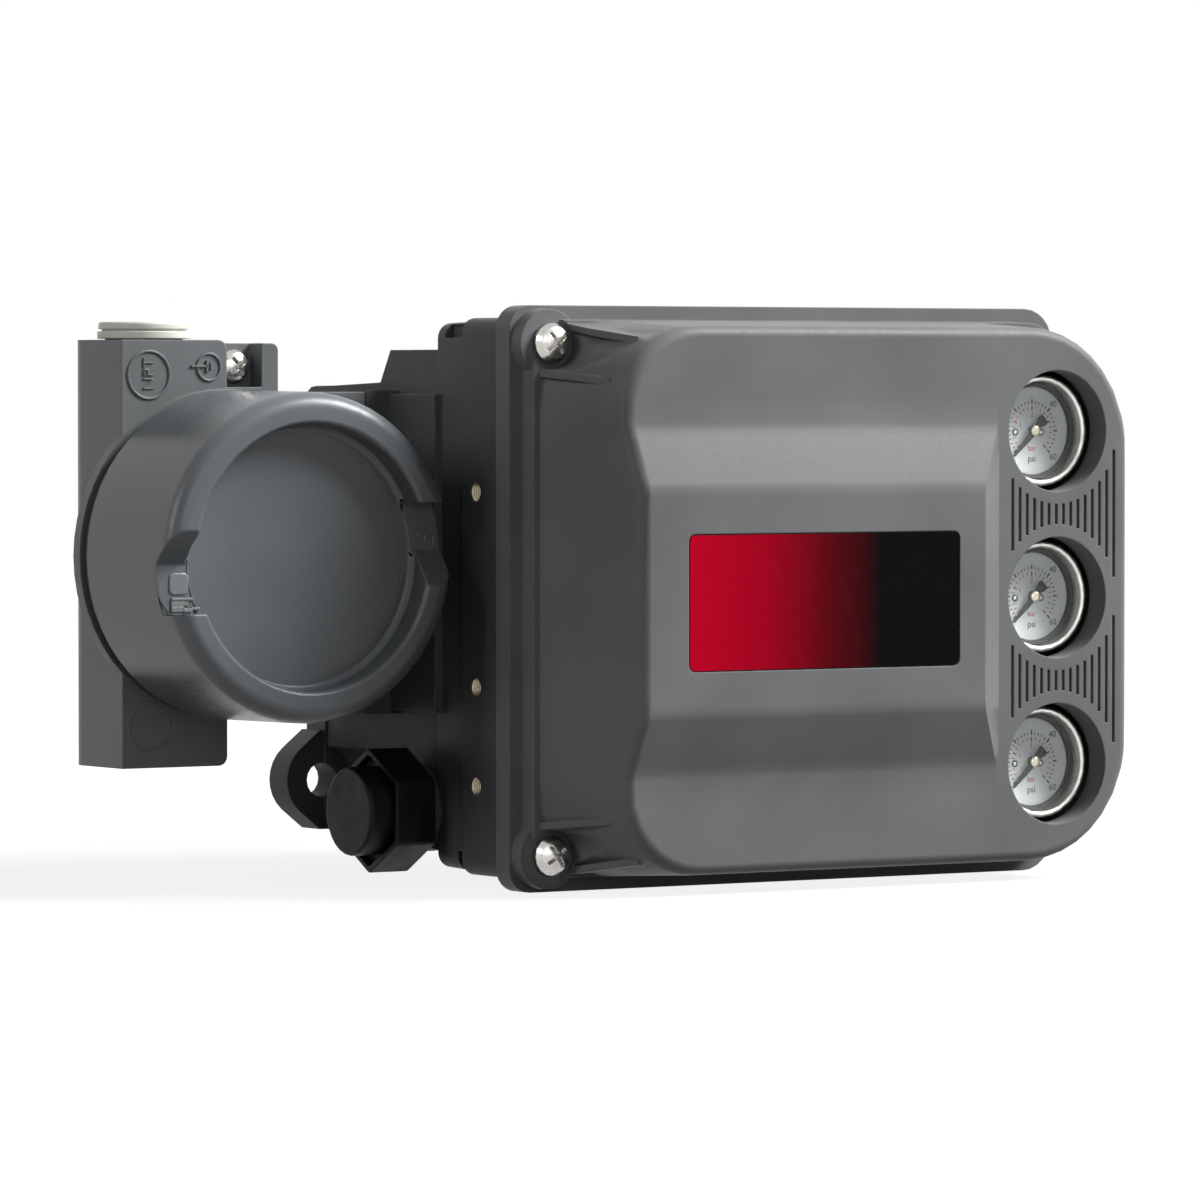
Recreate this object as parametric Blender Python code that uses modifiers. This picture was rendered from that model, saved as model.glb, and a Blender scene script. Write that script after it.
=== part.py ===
"""Pneumatic valve positioner with terminal box, gauges and front cover.

The origin lies on the rear mounting face, +X is right as seen from the front,
the front faces -Y and +Z is up. All sizes are metres.
"""

import math

import bpy
import bmesh
from mathutils import Matrix, Vector

mm = 0.001

# Clearance between sub-parts, overlap of joined solids and overrun of cutters
gap = 0.3 * mm
bite = 1.0 * mm
over = 2.0 * mm

# Depth stations, from the rear mounting face at y = 0 to the front
mount_plate_thickness = 9.5 * mm
rear_body_depth = 65.4 * mm
front_block_depth = 33.9 * mm
cover_flange_thickness = 6.4 * mm
cover_step_height = 5.8 * mm
cover_face_height = 34.0 * mm
cover_panel_rise = 5.9 * mm

rear_body_front_y = -rear_body_depth
housing_front_y = rear_body_front_y - front_block_depth
cover_back_y = housing_front_y - gap
cover_flange_y = cover_back_y - cover_flange_thickness
cover_step_y = cover_flange_y - cover_step_height
cover_face_y = cover_flange_y - cover_face_height
cover_panel_y = cover_face_y - cover_panel_rise

# Front cover
cover_left_x = -64.0 * mm
cover_width = 169.8 * mm
cover_height = 148.0 * mm
cover_right_x = cover_left_x + cover_width
cover_flange_radius = 6.0 * mm
cover_flange_right_radius = 9.0 * mm
cover_step_inset = 3.7 * mm
cover_step_right_inset = 0.4 * mm
cover_step_right_radius = 12.0 * mm
cover_wall = 3.0 * mm
cover_side_wall = 4.0 * mm
dome_base_inset = 5.2 * mm
dome_left_draft = 7.4 * mm
dome_left_bow = 0.8
dome_left_wall_share = 0.6
dome_side_draft = 1.6 * mm
dome_right_draft = 0.3 * mm
dome_left_radius = 22.0 * mm
dome_right_radius = 31.0 * mm
dome_corner_angles = (28, 40, 50, 60, 70, 80, 90)
dome_edge_round = 2.6 * mm
panel_half_height = 28.7 * mm
panel_slope_run = 15.8 * mm
panel_crease_softness = 0.18
panel_right_x = 55.5 * mm
panel_right_run = 8.0 * mm
panel_crest_gap = 0.5 * mm

cover_screw_inset_x = 9.0 * mm
cover_screw_inset_z = 9.5 * mm
cover_screw_diameter = 5.0 * mm
cover_screw_head_diameter = 10.2 * mm
cover_screw_head_height = 3.8 * mm
cover_screw_length = 24.0 * mm
cover_tap_depth = 20.0 * mm
cover_screw_pocket_radius = 6.6 * mm
cover_screw_boss_wall = 2.0 * mm
cover_screw_hole = 5.6 * mm
cover_screw_seat_y = cover_step_y + 1.2 * mm

gusset_thickness = 1.8 * mm
gusset_root = 1.0 * mm
gusset_toe = 0.5 * mm
gusset_inside = 4.0 * mm
gusset_inner_x = -58.7 * mm
gusset_inner_z = 56.9 * mm
gusset_inner_tip = (-51.6 * mm, -132.8 * mm, 54.8 * mm)
gusset_outer_x = -52.0 * mm
gusset_outer_z = 68.4 * mm
gusset_outer_tip = (-43.6 * mm, -133.6 * mm, 65.1 * mm)

groove_count = 15
groove_pitch = 2.33 * mm
groove_width = 0.9 * mm
groove_depth = 0.9 * mm
groove_start_x = 67.9 * mm
groove_arc_radius = 18.9 * mm

locating_pin_diameter = 4.0 * mm
locating_pin_length = 8.0 * mm
locating_pin_inset_x = 10.4 * mm
locating_pin_z = 62.0 * mm
seal_inset = 0.6 * mm
seal_width = 2.0 * mm
seal_groove_depth = 1.8 * mm
seal_corner_radius = 5.0 * mm

# Gauges and their windows
gauge_x = 82.3 * mm
gauge_pitch = 43.0 * mm
gauge_centre_z = -0.9 * mm
gauge_levels = [gauge_centre_z + step * gauge_pitch for step in (1, 0, -1)]
window_diameter = 31.3 * mm
window_rim_wall = 2.2 * mm
window_rim_depth = 6.0 * mm
bezel_diameter = 28.8 * mm
bezel_front_y = cover_face_y + 6.5 * mm
bezel_wall = 1.6 * mm
bezel_edge = 0.5 * mm
bezel_length = 5.0 * mm
gauge_case_inset = 1.0 * mm
gauge_case_depth = 20.0 * mm
dial_diameter = 24.6 * mm
dial_thickness = 0.8 * mm
dial_recess = 4.6 * mm
lens_thickness = 1.2 * mm
lens_recess = 0.9 * mm
pointer_thickness = 0.5 * mm
pointer_length = 9.2 * mm
pointer_tail = 4.0 * mm
pointer_root = 0.5 * mm
pointer_tip = 0.16 * mm
pointer_tail_half = 1.1 * mm
pointer_hub_radius = 1.4 * mm
pointer_hub_foot = 0.4 * mm
pointer_hub_rise = 0.5 * mm
pointer_rest_angle = math.radians(225)
gauge_stem_diameter = 9.0 * mm

# Housing casting
housing_left_x = -61.0 * mm
housing_width = 162.0 * mm
housing_half_height = 71.0 * mm
housing_right_x = housing_left_x + housing_width
housing_wall = 6.0 * mm
housing_floor = 7.0 * mm
housing_corner_radius = 4.0 * mm
housing_right_radius = 9.0 * mm
cavity_corner_radius = 15.0 * mm
housing_step_depth = 20.4 * mm
housing_step_inset = 0.8 * mm
housing_step_run = 0.5 * mm
housing_back_inset = 1.2 * mm

rear_body_left_x = -59.0 * mm
rear_body_right_x = 62.0 * mm
rear_body_top = 63.0 * mm
rear_body_bottom = -65.5 * mm
rear_shoulder_top = 54.6 * mm
rear_shoulder_depth = 36.0 * mm
rear_shoulder_run = 5.0 * mm
mount_plate_bottom = -62.7 * mm
mount_plate_top = 53.4 * mm
plate_side_rise = 0.8 * mm
plate_end_rise = 0.4 * mm
plate_corner_radius = 3.0 * mm

ear_hole_diameter = 9.0 * mm
ear_radius = 10.5 * mm
ear_z = -49.8 * mm
ear_offset = 1.8 * mm
ear_root_height = 26.0 * mm
ear_root_reach = 8.0 * mm
ear_shoulder = 0.5 * mm
ear_half_angle = 50
bolt_relief_radius = 9.0 * mm
bolt_relief_depth = 34.0 * mm
upper_tap_diameter = 6.8 * mm
upper_tap_depth = 14.0 * mm
upper_tap_x = 44.0 * mm
upper_tap_z = 45.0 * mm

sensor_bay_x = 28.0 * mm
sensor_bay_width = 44.0 * mm
sensor_bay_height = 74.0 * mm
sensor_bay_depth = 42.0 * mm
sensor_channel_width = 16.0 * mm
sensor_channel_depth = 22.0 * mm
sensor_set_in = 2.0 * mm

port_block_depth = 22.0 * mm
port_block_half_height = 60.0 * mm
port_block_inset = 2.0 * mm
port_set_back = 10.0 * mm
port_diameter = 13.2 * mm
port_depth = 15.0 * mm
port_pitch = 40.0 * mm
port_boss_radius = 10.4 * mm
port_boss_root = 6.0 * mm
port_boss_rise = 1.2 * mm

side_hole_diameter = 5.0 * mm
side_hole_depth = 4.6 * mm
side_hole_y = housing_front_y + 14.0 * mm
side_hole_levels = [26.8 * mm, -23.0 * mm, -48.2 * mm]

neck_left_x = -69.4 * mm
neck_front_y = -45.6 * mm
neck_back_y = -18.0 * mm
neck_top = 52.6 * mm
neck_bottom = -31.0 * mm
neck_boss_rise = 3.0 * mm
neck_boss_back_y = -30.0 * mm

corner_notch_set_back = 1.0 * mm
corner_notch_depth = 4.0 * mm
corner_notch_length = 9.0 * mm
corner_notch_low = 5.0 * mm
corner_notch_high = 1.6 * mm
drain_slot_depth = 3.0 * mm
drain_slot_width = 3.4 * mm
drain_slot_length = 6.0 * mm

# Terminal box
terminal_x = -112.0 * mm
terminal_z = 10.8 * mm
terminal_radius = 42.0 * mm
terminal_front_y = -46.2 * mm
terminal_neck_radius = 38.0 * mm
terminal_neck_length = 12.0 * mm
terminal_flange_thickness = 3.2 * mm
terminal_floor = 6.0 * mm
terminal_cavity_radius = 33.0 * mm
cavity_back_width = 21.5 * mm
cavity_back_height = 31.0 * mm
cavity_turn = 6.0 * mm

# Set back, left reach and half height of the terminal box body's sections
terminal_stations = ((0.5 * mm, 40.6 * mm, 41.4 * mm), (3.2 * mm, 40.6 * mm, 41.4 * mm),
                     (16.2 * mm, 32.0 * mm, 41.4 * mm), (29.0 * mm, 23.6 * mm, 41.0 * mm),
                     (32.0 * mm, 21.5 * mm, 38.6 * mm))
terminal_back_y = terminal_front_y + terminal_stations[-1][0]

column_left_x = -141.6 * mm
column_right_x = -111.0 * mm
column_front_y = -46.0 * mm
column_back_y = -18.0 * mm
column_corner_radius = 7.0 * mm
column_end_radius = 2.4 * mm
column_top = 65.4 * mm
column_bottom = -43.0 * mm
entry_x = -127.2 * mm
entry_y = -32.0 * mm
conduit_bore = 20.4 * mm
entry_reach = 13.0 * mm

lug_width = 15.4 * mm
lug_height = 11.8 * mm
lug_depth = 16.0 * mm
lug_root = 3.0 * mm
lug_floor = 0.6 * mm
lug_set_back = 0.6 * mm
lug_corner_radius = 1.8 * mm
lug_pocket_width = 10.6 * mm
lug_pocket_depth = 6.0 * mm

# Terminal box cap
cap_front_y = -91.3 * mm
cap_back_y = -49.6 * mm
cap_front_radius = 41.5 * mm
cap_back_radius = 41.9 * mm
cap_shoulder_radius = 4.3 * mm
cap_lip_radius = 33.5 * mm
cap_lip_round = 1.2 * mm
cap_recess_depth = 8.0 * mm
cap_disc_thickness = 3.2 * mm
cap_thread_clearance = 0.45 * mm
cap_notch_depth = 7.9 * mm
cap_notch_steep = -13.5 * mm
cap_notch_ramp_foot = -1.4 * mm
cap_notch_ramp_head = 8.4 * mm
cap_ring_thickness = 2.6 * mm
cap_ring_edge = 0.7 * mm

# Terminal strip
strip_width = 38.0 * mm
strip_height = 22.0 * mm
strip_depth = 15.0 * mm
strip_round = 1.2 * mm
strip_screw_offsets = (-13.5 * mm, -4.5 * mm, 4.5 * mm, 13.5 * mm)
strip_well_depth = 5.0 * mm
strip_well_radius = 3.6 * mm
strip_screw_diameter = 3.0 * mm
strip_screw_length = 5.0 * mm
strip_head_diameter = 6.0 * mm
strip_head_height = 2.4 * mm

# Vent
vent_y = -56.0 * mm
vent_z = -55.2 * mm
vent_hex_across = 28.0 * mm
vent_hex_front_x = -75.0 * mm
vent_hex_thickness = 11.7 * mm
vent_corner_radius = 1.5 * mm
vent_boss_radius = 11.0 * mm
vent_cap_diameter = 22.9 * mm
vent_cap_height = 6.1 * mm
vent_cap_round = 0.6 * mm
vent_well_depth = 2.4 * mm
vent_well_wall = 1.6 * mm
vent_shank_diameter = 17.0 * mm
vent_shank_length = 8.0 * mm

# Working parts in the cavity
base_left_x = -46.0 * mm
base_right_x = 92.0 * mm
base_half_height = 56.0 * mm
base_thickness = 21.0 * mm
base_front_y = housing_front_y + 3.0 * mm
base_back_y = base_front_y + base_thickness
base_screw_inset = 6.0 * mm
base_screw_right_x = 58.0 * mm
gasket_margin = 3.0 * mm
module_round = 2.0 * mm
socket_head_diameter = 8.5 * mm
socket_head_height = 5.0 * mm
socket_key_radius = 2.2 * mm
socket_key_depth = 2.6 * mm
socket_shank_diameter = 5.0 * mm
socket_shank_length = 12.0 * mm
board_size = (44.0 * mm, 23.0 * mm, 86.0 * mm)
board_centre_x = -20.0 * mm
converter_size = (38.0 * mm, 24.0 * mm, 40.0 * mm)
converter_centre = (28.0 * mm, 30.0 * mm)
converter_round = 5.0 * mm
relay_size = (38.0 * mm, 28.0 * mm, 52.0 * mm)
relay_centre = (28.0 * mm, -24.0 * mm)
relay_disc_diameter = 22.0 * mm
relay_disc_thickness = 5.0 * mm
relay_disc_clearance = 0.5 * mm
relay_slot_reach = 8.0 * mm
relay_slot_width = 2.0 * mm
relay_slot_depth = 1.5 * mm

# Label plate
label_left_x = -36.2 * mm
label_right_x = 46.6 * mm
label_top_z = 16.5 * mm
label_bottom_z = -17.3 * mm
label_thickness = 0.6 * mm
label_pocket_depth = 0.8 * mm
label_corner_radius = 1.5 * mm

# Pan head screws, heights and widths as shares of the head
pan_head_shape = ((0.45, 0.93), (0.8, 0.72), (1.0, 0.3))
recess_reach = 0.6
recess_width = 1.0 * mm
recess_floor = 0.45
recess_turn = math.radians(35)

# External ground screw and conduit plug
ground_head_diameter = 8.8 * mm
ground_head_height = 3.4 * mm
ground_shank_diameter = 4.0 * mm
ground_shank_length = 8.0 * mm
plug_flange_diameter = 23.2 * mm
plug_flange_thickness = 1.9 * mm
plug_groove = 0.5 * mm
plug_groove_depth = 0.9 * mm
plug_edge = 0.5 * mm
plug_lip = 0.3 * mm
plug_wall = 2.4 * mm
plug_taper = 0.6 * mm
plug_stem_length = 11.0 * mm

large_steps = 56
medium_steps = 28
small_steps = 16

front = Vector((0, -1, 0))
back = Vector((0, 1, 0))
left = Vector((-1, 0, 0))
right = Vector((1, 0, 0))
up = Vector((0, 0, 1))


def start_scene():
    """Empties the file and makes the two collections."""
    for item in list(bpy.data.objects):
        bpy.data.objects.remove(item, do_unlink=True)
    for label in ("Valve positioner", "Cutters"):
        collection = bpy.data.collections.new(label)
        bpy.context.scene.collection.children.link(collection)


def finish(name, colour, roughness, metallic=0.0):
    """Makes a Principled material."""
    material = bpy.data.materials.new(name)
    material.use_nodes = True
    shader = material.node_tree.nodes["Principled BSDF"]
    shader.inputs["Base Color"].default_value = (*colour, 1.0)
    shader.inputs["Roughness"].default_value = roughness
    shader.inputs["Metallic"].default_value = metallic
    material.diffuse_color = (*colour, 1.0)
    return material


def place(item, collection="Valve positioner"):
    """Links an object to one collection only."""
    for owner in list(item.users_collection):
        owner.objects.unlink(item)
    bpy.data.collections[collection].objects.link(item)
    return item


def from_bmesh(name, mesh):
    """Turns a bmesh into a linked object."""
    data = bpy.data.meshes.new(name)
    mesh.to_mesh(data)
    mesh.free()
    item = bpy.data.objects.new(name, data)
    return place(item)


def facing(direction):
    """Rotation that turns local +Z to a world direction."""
    return direction.to_track_quat("Z", "Y").to_matrix().to_4x4()


def box(name, low, high):
    """A block between two corners."""
    mesh = bmesh.new()
    bmesh.ops.create_cube(mesh, size=1.0)
    size = Vector(high) - Vector(low)
    centre = (Vector(high) + Vector(low)) / 2
    bmesh.ops.transform(mesh, matrix=Matrix.Diagonal((*size, 1.0)), verts=mesh.verts)
    bmesh.ops.translate(mesh, vec=centre, verts=mesh.verts)
    return from_bmesh(name, mesh)


def rod(name, start, direction, length, radius, steps=medium_steps, end_radius=None):
    """A cylinder or cone from a start point along a direction."""
    mesh = bmesh.new()
    far = radius if end_radius is None else end_radius
    bmesh.ops.create_cone(mesh, cap_ends=True, segments=steps,
                          radius1=radius, radius2=far, depth=length)
    bmesh.ops.translate(mesh, vec=(0, 0, length / 2), verts=mesh.verts)
    item = from_bmesh(name, mesh)
    item.matrix_world = Matrix.Translation(start) @ facing(direction)
    return item


def turned(name, profile, centre, direction, steps=large_steps):
    """A profile of (radius, height) points turned about an axis."""
    data = bpy.data.meshes.new(name)
    points = [(radius, 0, height) for radius, height in profile]
    closed = profile[0][0] > 0 or profile[-1][0] > 0
    edges = [(i, i + 1) for i in range(len(points) - 1)]
    if closed:
        edges.append((len(points) - 1, 0))
    data.from_pydata(points, edges, [])
    item = place(bpy.data.objects.new(name, data))
    screw = item.modifiers.new("Turn", "SCREW")
    screw.steps = steps
    screw.render_steps = steps
    screw.use_merge_vertices = True
    screw.merge_threshold = 0.00001
    weld = item.modifiers.new("Weld axis", "WELD")
    weld.merge_threshold = 0.00001
    item.matrix_world = Matrix.Translation(centre) @ facing(direction)
    return item


def arc(centre_x, centre_y, radius, start, end, steps):
    """Points of an arc, angles in degrees."""
    points = []
    for i in range(steps + 1):
        angle = math.radians(start + (end - start) * i / steps)
        points.append((centre_x + radius * math.cos(angle), centre_y + radius * math.sin(angle)))
    return points


def rounded_outline(x1, x2, z1, z2, left_radius, right_radius, steps=6):
    """A rectangle whose left and right corners have their own radii."""
    a = left_radius
    b = right_radius
    points = arc(x2 - b, z1 + b, b, -90, 0, steps)
    points += arc(x2 - b, z2 - b, b, 0, 90, steps)
    points += arc(x1 + a, z2 - a, a, 90, 180, steps)
    points += arc(x1 + a, z1 + a, a, 180, 270, steps)
    return points


def loft(name, loops):
    """A closed solid through equal loops of points, the last one towards the front."""
    mesh = bmesh.new()
    rings = [[mesh.verts.new(point) for point in loop] for loop in loops]
    count = len(rings[0])
    for near, far in zip(rings, rings[1:]):
        for i in range(count):
            j = (i + 1) % count
            mesh.faces.new((near[i], near[j], far[j], far[i]))
    mesh.faces.new(list(reversed(rings[0])))
    mesh.faces.new(rings[-1])
    bmesh.ops.recalc_face_normals(mesh, faces=mesh.faces)
    return from_bmesh(name, mesh)


def slab(name, outline, y_back, y_front):
    """An outline in the XZ plane given a thickness along Y."""
    return loft(name, [[(x, y, z) for x, z in outline] for y in (y_back, y_front)])


def side_slab(name, outline, x_left, x_right):
    """An outline in the YZ plane given a thickness along X."""
    return loft(name, [[(x, y, z) for y, z in outline] for x in (x_left, x_right)])


def top_slab(name, outline, z_low, z_high):
    """An outline in the XY plane given a thickness along Z."""
    return loft(name, [[(x, y, z) for x, y in outline] for z in (z_low, z_high)])


def boolean(item, tool, operation):
    """Adds an exact Boolean with a tool that is kept as a wire cutter."""
    place(tool, "Cutters")
    tool.hide_render = True
    tool.display_type = "WIRE"
    modifier = item.modifiers.new(tool.name, "BOOLEAN")
    modifier.operation = operation
    modifier.solver = "EXACT"
    modifier.object = tool
    return item


def cut(item, tool):
    """Takes the tool's shape out of the item."""
    return boolean(item, tool, "DIFFERENCE")


def add(item, tool):
    """Joins the tool's shape to the item."""
    return boolean(item, tool, "UNION")


def soften(item, width, segments=2, angle=35):
    """Rounds the sharp edges of a simple solid."""
    modifier = item.modifiers.new("Round edges", "BEVEL")
    modifier.width = width
    modifier.segments = segments
    modifier.limit_method = "ANGLE"
    modifier.angle_limit = math.radians(angle)
    return item


def dress(item, material):
    """Gives the object its material and smooth shading with sharp creases."""
    item.data.materials.append(material)
    item.data.shade_smooth()
    item.data.set_sharp_from_angle(angle=math.radians(30))
    return item


def panel_share(level):
    """How far the raised panel is up at a level, 0 outside its slopes, with soft creases."""
    share = (panel_half_height + panel_slope_run - abs(level)) / panel_slope_run
    soft = panel_crease_softness
    if share <= -soft:
        return 0.0
    if share < soft:
        return (share + soft) ** 2 / (4 * soft)
    if share <= 1 - soft:
        return share
    if share < 1 + soft:
        return 1 - (1 + soft - share) ** 2 / (4 * soft)
    return 1.0


def dome_rows():
    """Levels of the points down the cover body's sides, as shares of its half height."""
    half = cover_height / 2 - cover_step_inset
    shares = []
    for crease in (panel_half_height, panel_half_height + panel_slope_run):
        for step in (-1, -1 / 3, 1 / 3, 1):
            shares.append((crease + step * panel_crease_softness * panel_slope_run) / half)
    for angle in dome_corner_angles:
        shares.append(1 - dome_right_radius / half * (1 - math.sin(math.radians(angle))))
    return [-share for share in reversed(shares)] + [0.0] + shares


def corner_inset(level, half, radius):
    """How far a rounded corner draws in a side at a level."""
    over = abs(level) - half + radius
    return 0.0 if over <= 0 else radius - math.sqrt(max(0.0, radius ** 2 - over ** 2))


def dome_loop(height, inset, rows):
    """Cover body section at a height over the flange: up its left side and down its right."""
    rise = cover_face_height - cover_step_height
    reach = min(1.0, max(0.0, (height - cover_step_height) / rise))
    half = cover_height / 2 - cover_step_inset - dome_side_draft * reach - inset
    right_x = cover_right_x - inset - dome_right_draft * reach
    radius_left = dome_left_radius - inset * dome_left_wall_share
    radius_right = dome_right_radius - inset
    left_points = []
    right_points = []
    for row in rows:
        z = half * row
        lift = cover_panel_rise * panel_share(z) * reach
        share = max(0.0, (height + lift - cover_step_height) / rise)
        left_x = cover_left_x + dome_base_inset + dome_left_draft * share ** dome_left_bow + inset
        left_points.append((left_x + corner_inset(z, half, radius_left), cover_flange_y - height - lift, z))
        right_points.append((right_x - corner_inset(z, half, radius_right), cover_flange_y - height, z))
    return left_points + right_points[::-1]


def dome_sections(high):
    """Heights of the cover body's sections, then the rounding of its front edge."""
    rise = high - dome_edge_round - cover_step_height
    sections = [(cover_step_height + rise * share, 0.0) for share in (0.004, 0.25, 0.5, 0.75, 1.0)]
    for angle in (22.5, 45, 67.5, 90):
        turn = math.radians(angle)
        sections.append((high - dome_edge_round * (1 - math.sin(turn)), dome_edge_round * (1 - math.cos(turn))))
    return sections


def dome(name, inset, low, high):
    """Cover body with a rounded front edge and the raised panel across its face."""
    rows = dome_rows()
    loops = [dome_loop(height, inset + extra, rows) for height, extra in [(low, 0.0)] + dome_sections(high)]
    mesh = bmesh.new()
    rings = [[mesh.verts.new(point) for point in loop] for loop in loops]
    count = len(rings[0])
    for near, far in zip(rings, rings[1:]):
        for i in range(count):
            j = (i + 1) % count
            mesh.faces.new((near[i], near[j], far[j], far[i]))
    mesh.faces.new(list(reversed(rings[0])))
    west = rings[-1][:len(rows)]
    east = rings[-1][len(rows):][::-1]
    crest = {}
    foot = {}
    last = len(rows) - 1
    foot_x = panel_right_x + panel_right_run - inset
    for i in range(1, last):
        level = west[i].co.z
        crest_x = foot_x - panel_right_run * panel_share(level) - panel_crest_gap
        crest[i] = mesh.verts.new((crest_x, west[i].co.y, level))
        foot[i] = mesh.verts.new((foot_x, east[i].co.y, level))
    for i in range(1, last - 1):
        mesh.faces.new((west[i], crest[i], crest[i + 1], west[i + 1]))
        mesh.faces.new((crest[i], foot[i], foot[i + 1]))
        mesh.faces.new((crest[i], foot[i + 1], crest[i + 1]))
        mesh.faces.new((foot[i], east[i], east[i + 1], foot[i + 1]))
    mesh.faces.new((west[0], east[0], east[1], foot[1], crest[1], west[1]))
    mesh.faces.new((west[last - 1], crest[last - 1], foot[last - 1], east[last - 1], east[last], west[last]))
    bmesh.ops.recalc_face_normals(mesh, faces=mesh.faces)
    return from_bmesh(name, mesh)


def cover_screw_places():
    """Screw centres at the two left corners of the cover."""
    x = cover_left_x + cover_screw_inset_x
    z = cover_height / 2 - cover_screw_inset_z
    return [(x, z), (x, -z)]


def gusset(name, start_x, level, tip, side):
    """Thin flat rib that climbs from the cover step to a tip on the corner of the cover body."""
    tip_x, tip_y, tip_z = tip
    root_y = cover_step_y + gusset_root
    points = [(start_x, root_y), (tip_x + gusset_inside, root_y), (tip_x + gusset_inside, tip_y),
              (tip_x, tip_y), (start_x, cover_step_y - gusset_toe)]
    loops = []
    for offset in (-gusset_thickness / 2, gusset_thickness / 2):
        loop = []
        for x, y in points:
            lean = (tip_z - level) * (y - cover_step_y) / (tip_y - cover_step_y)
            loop.append((x, y, side * (level + lean + offset)))
        loops.append(loop)
    return loft(name, loops)


def window_grooves():
    """Fine upright grooves between the gauge windows, ending on arcs round them."""
    mesh = bmesh.new()
    for upper, lower in zip(gauge_levels, gauge_levels[1:]):
        for index in range(groove_count):
            x = groove_start_x + index * groove_pitch
            reach = math.sqrt(max(0.0, groove_arc_radius ** 2 - (x - gauge_x) ** 2))
            size = Vector((groove_width, 2 * groove_depth, upper - lower - 2 * reach))
            centre = Vector((x, cover_face_y, (upper + lower) / 2))
            block = Matrix.Translation(centre) @ Matrix.Diagonal((*size, 1.0))
            bmesh.ops.create_cube(mesh, size=1.0, matrix=block)
    return from_bmesh("window_grooves", mesh)


def make_front_cover(material):
    """Die-cast front cover with gauge windows, raised panel, gussets and screw pockets."""
    half = cover_height / 2
    outline = rounded_outline(cover_left_x, cover_right_x, -half, half, cover_flange_radius,
                              cover_flange_right_radius)
    cover = slab("front_cover", outline, cover_back_y, cover_flange_y)
    inner = half - cover_step_inset
    step = rounded_outline(cover_left_x + cover_step_inset, cover_right_x - cover_step_right_inset, -inner, inner,
                           cover_flange_radius, cover_step_right_radius)
    add(cover, slab("cover_step", step, cover_flange_y + bite, cover_step_y))
    add(cover, dome("cover_dome", 0.0, -cover_flange_thickness / 2, cover_face_height))
    for index, (x, z) in enumerate(cover_screw_places()):
        side = 1 if z > 0 else -1
        add(cover, rod(f"cover_screw_boss_{index}", Vector((x, cover_back_y, z)), front,
                       cover_back_y - cover_screw_seat_y, cover_screw_pocket_radius + cover_screw_boss_wall))
        add(cover, gusset(f"gusset_outer_{index}", gusset_outer_x, gusset_outer_z, gusset_outer_tip, side))
        add(cover, gusset(f"gusset_inner_{index}", gusset_inner_x, gusset_inner_z, gusset_inner_tip, side))
    cut(cover, dome("cover_hollow", cover_side_wall, -cover_flange_thickness - bite, cover_face_height - cover_wall))
    cut(cover, window_grooves())
    for index, level in enumerate(gauge_levels):
        centre = Vector((gauge_x, cover_face_y + bite, level))
        add(cover, rod(f"window_rim_{index}", centre, back, window_rim_depth,
                       window_diameter / 2 + window_rim_wall, large_steps))
    for index, level in enumerate(gauge_levels):
        centre = Vector((gauge_x, cover_face_y - over, level))
        cut(cover, rod(f"window_{index}", centre, back, window_rim_depth + 3 * over, window_diameter / 2, large_steps))
    for index, (x, z) in enumerate(cover_screw_places()):
        seat = Vector((x, cover_screw_seat_y, z))
        cut(cover, rod(f"cover_screw_pocket_{index}", seat, front, cover_face_height, cover_screw_pocket_radius))
        cut(cover, rod(f"cover_screw_bore_{index}", Vector((x, cover_back_y + bite, z)), front,
                       cover_face_height / 2, cover_screw_hole / 2, small_steps))
    for index, centre in enumerate(locating_pin_places()):
        add(cover, rod(f"locating_pin_{index}", centre + front * over, back, locating_pin_length + over,
                       locating_pin_diameter / 2, small_steps))
    return dress(cover, material)


def locating_pin_places():
    """Pins on the cover's right side that enter the housing rim."""
    x = cover_right_x - locating_pin_inset_x
    return [Vector((x, cover_back_y, z)) for z in (locating_pin_z, -locating_pin_z)]


def seal_ring(name, clearance, y_back, y_front):
    """A flat ring that follows the housing rim, with a clearance all round."""
    half = housing_half_height - seal_inset
    r = seal_corner_radius
    left_x = housing_left_x + seal_inset
    right_x = housing_right_x - seal_inset
    ring = slab(name, rounded_outline(left_x - clearance, right_x + clearance, -half - clearance, half + clearance,
                                      r + clearance, r + clearance, 4), y_back, y_front)
    w = seal_width + clearance
    inside = slab(f"{name}_inside", rounded_outline(left_x + w, right_x - w, -half + w, half - w, r - w, r - w, 4),
                  y_back + over, y_front - over)
    return cut(ring, inside)


def make_cover_seal(material):
    """Rubber seal in the groove of the housing rim."""
    bottom = housing_front_y + seal_groove_depth
    dress(seal_ring("cover_seal", 0.0, bottom - gap, housing_front_y), material)


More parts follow.
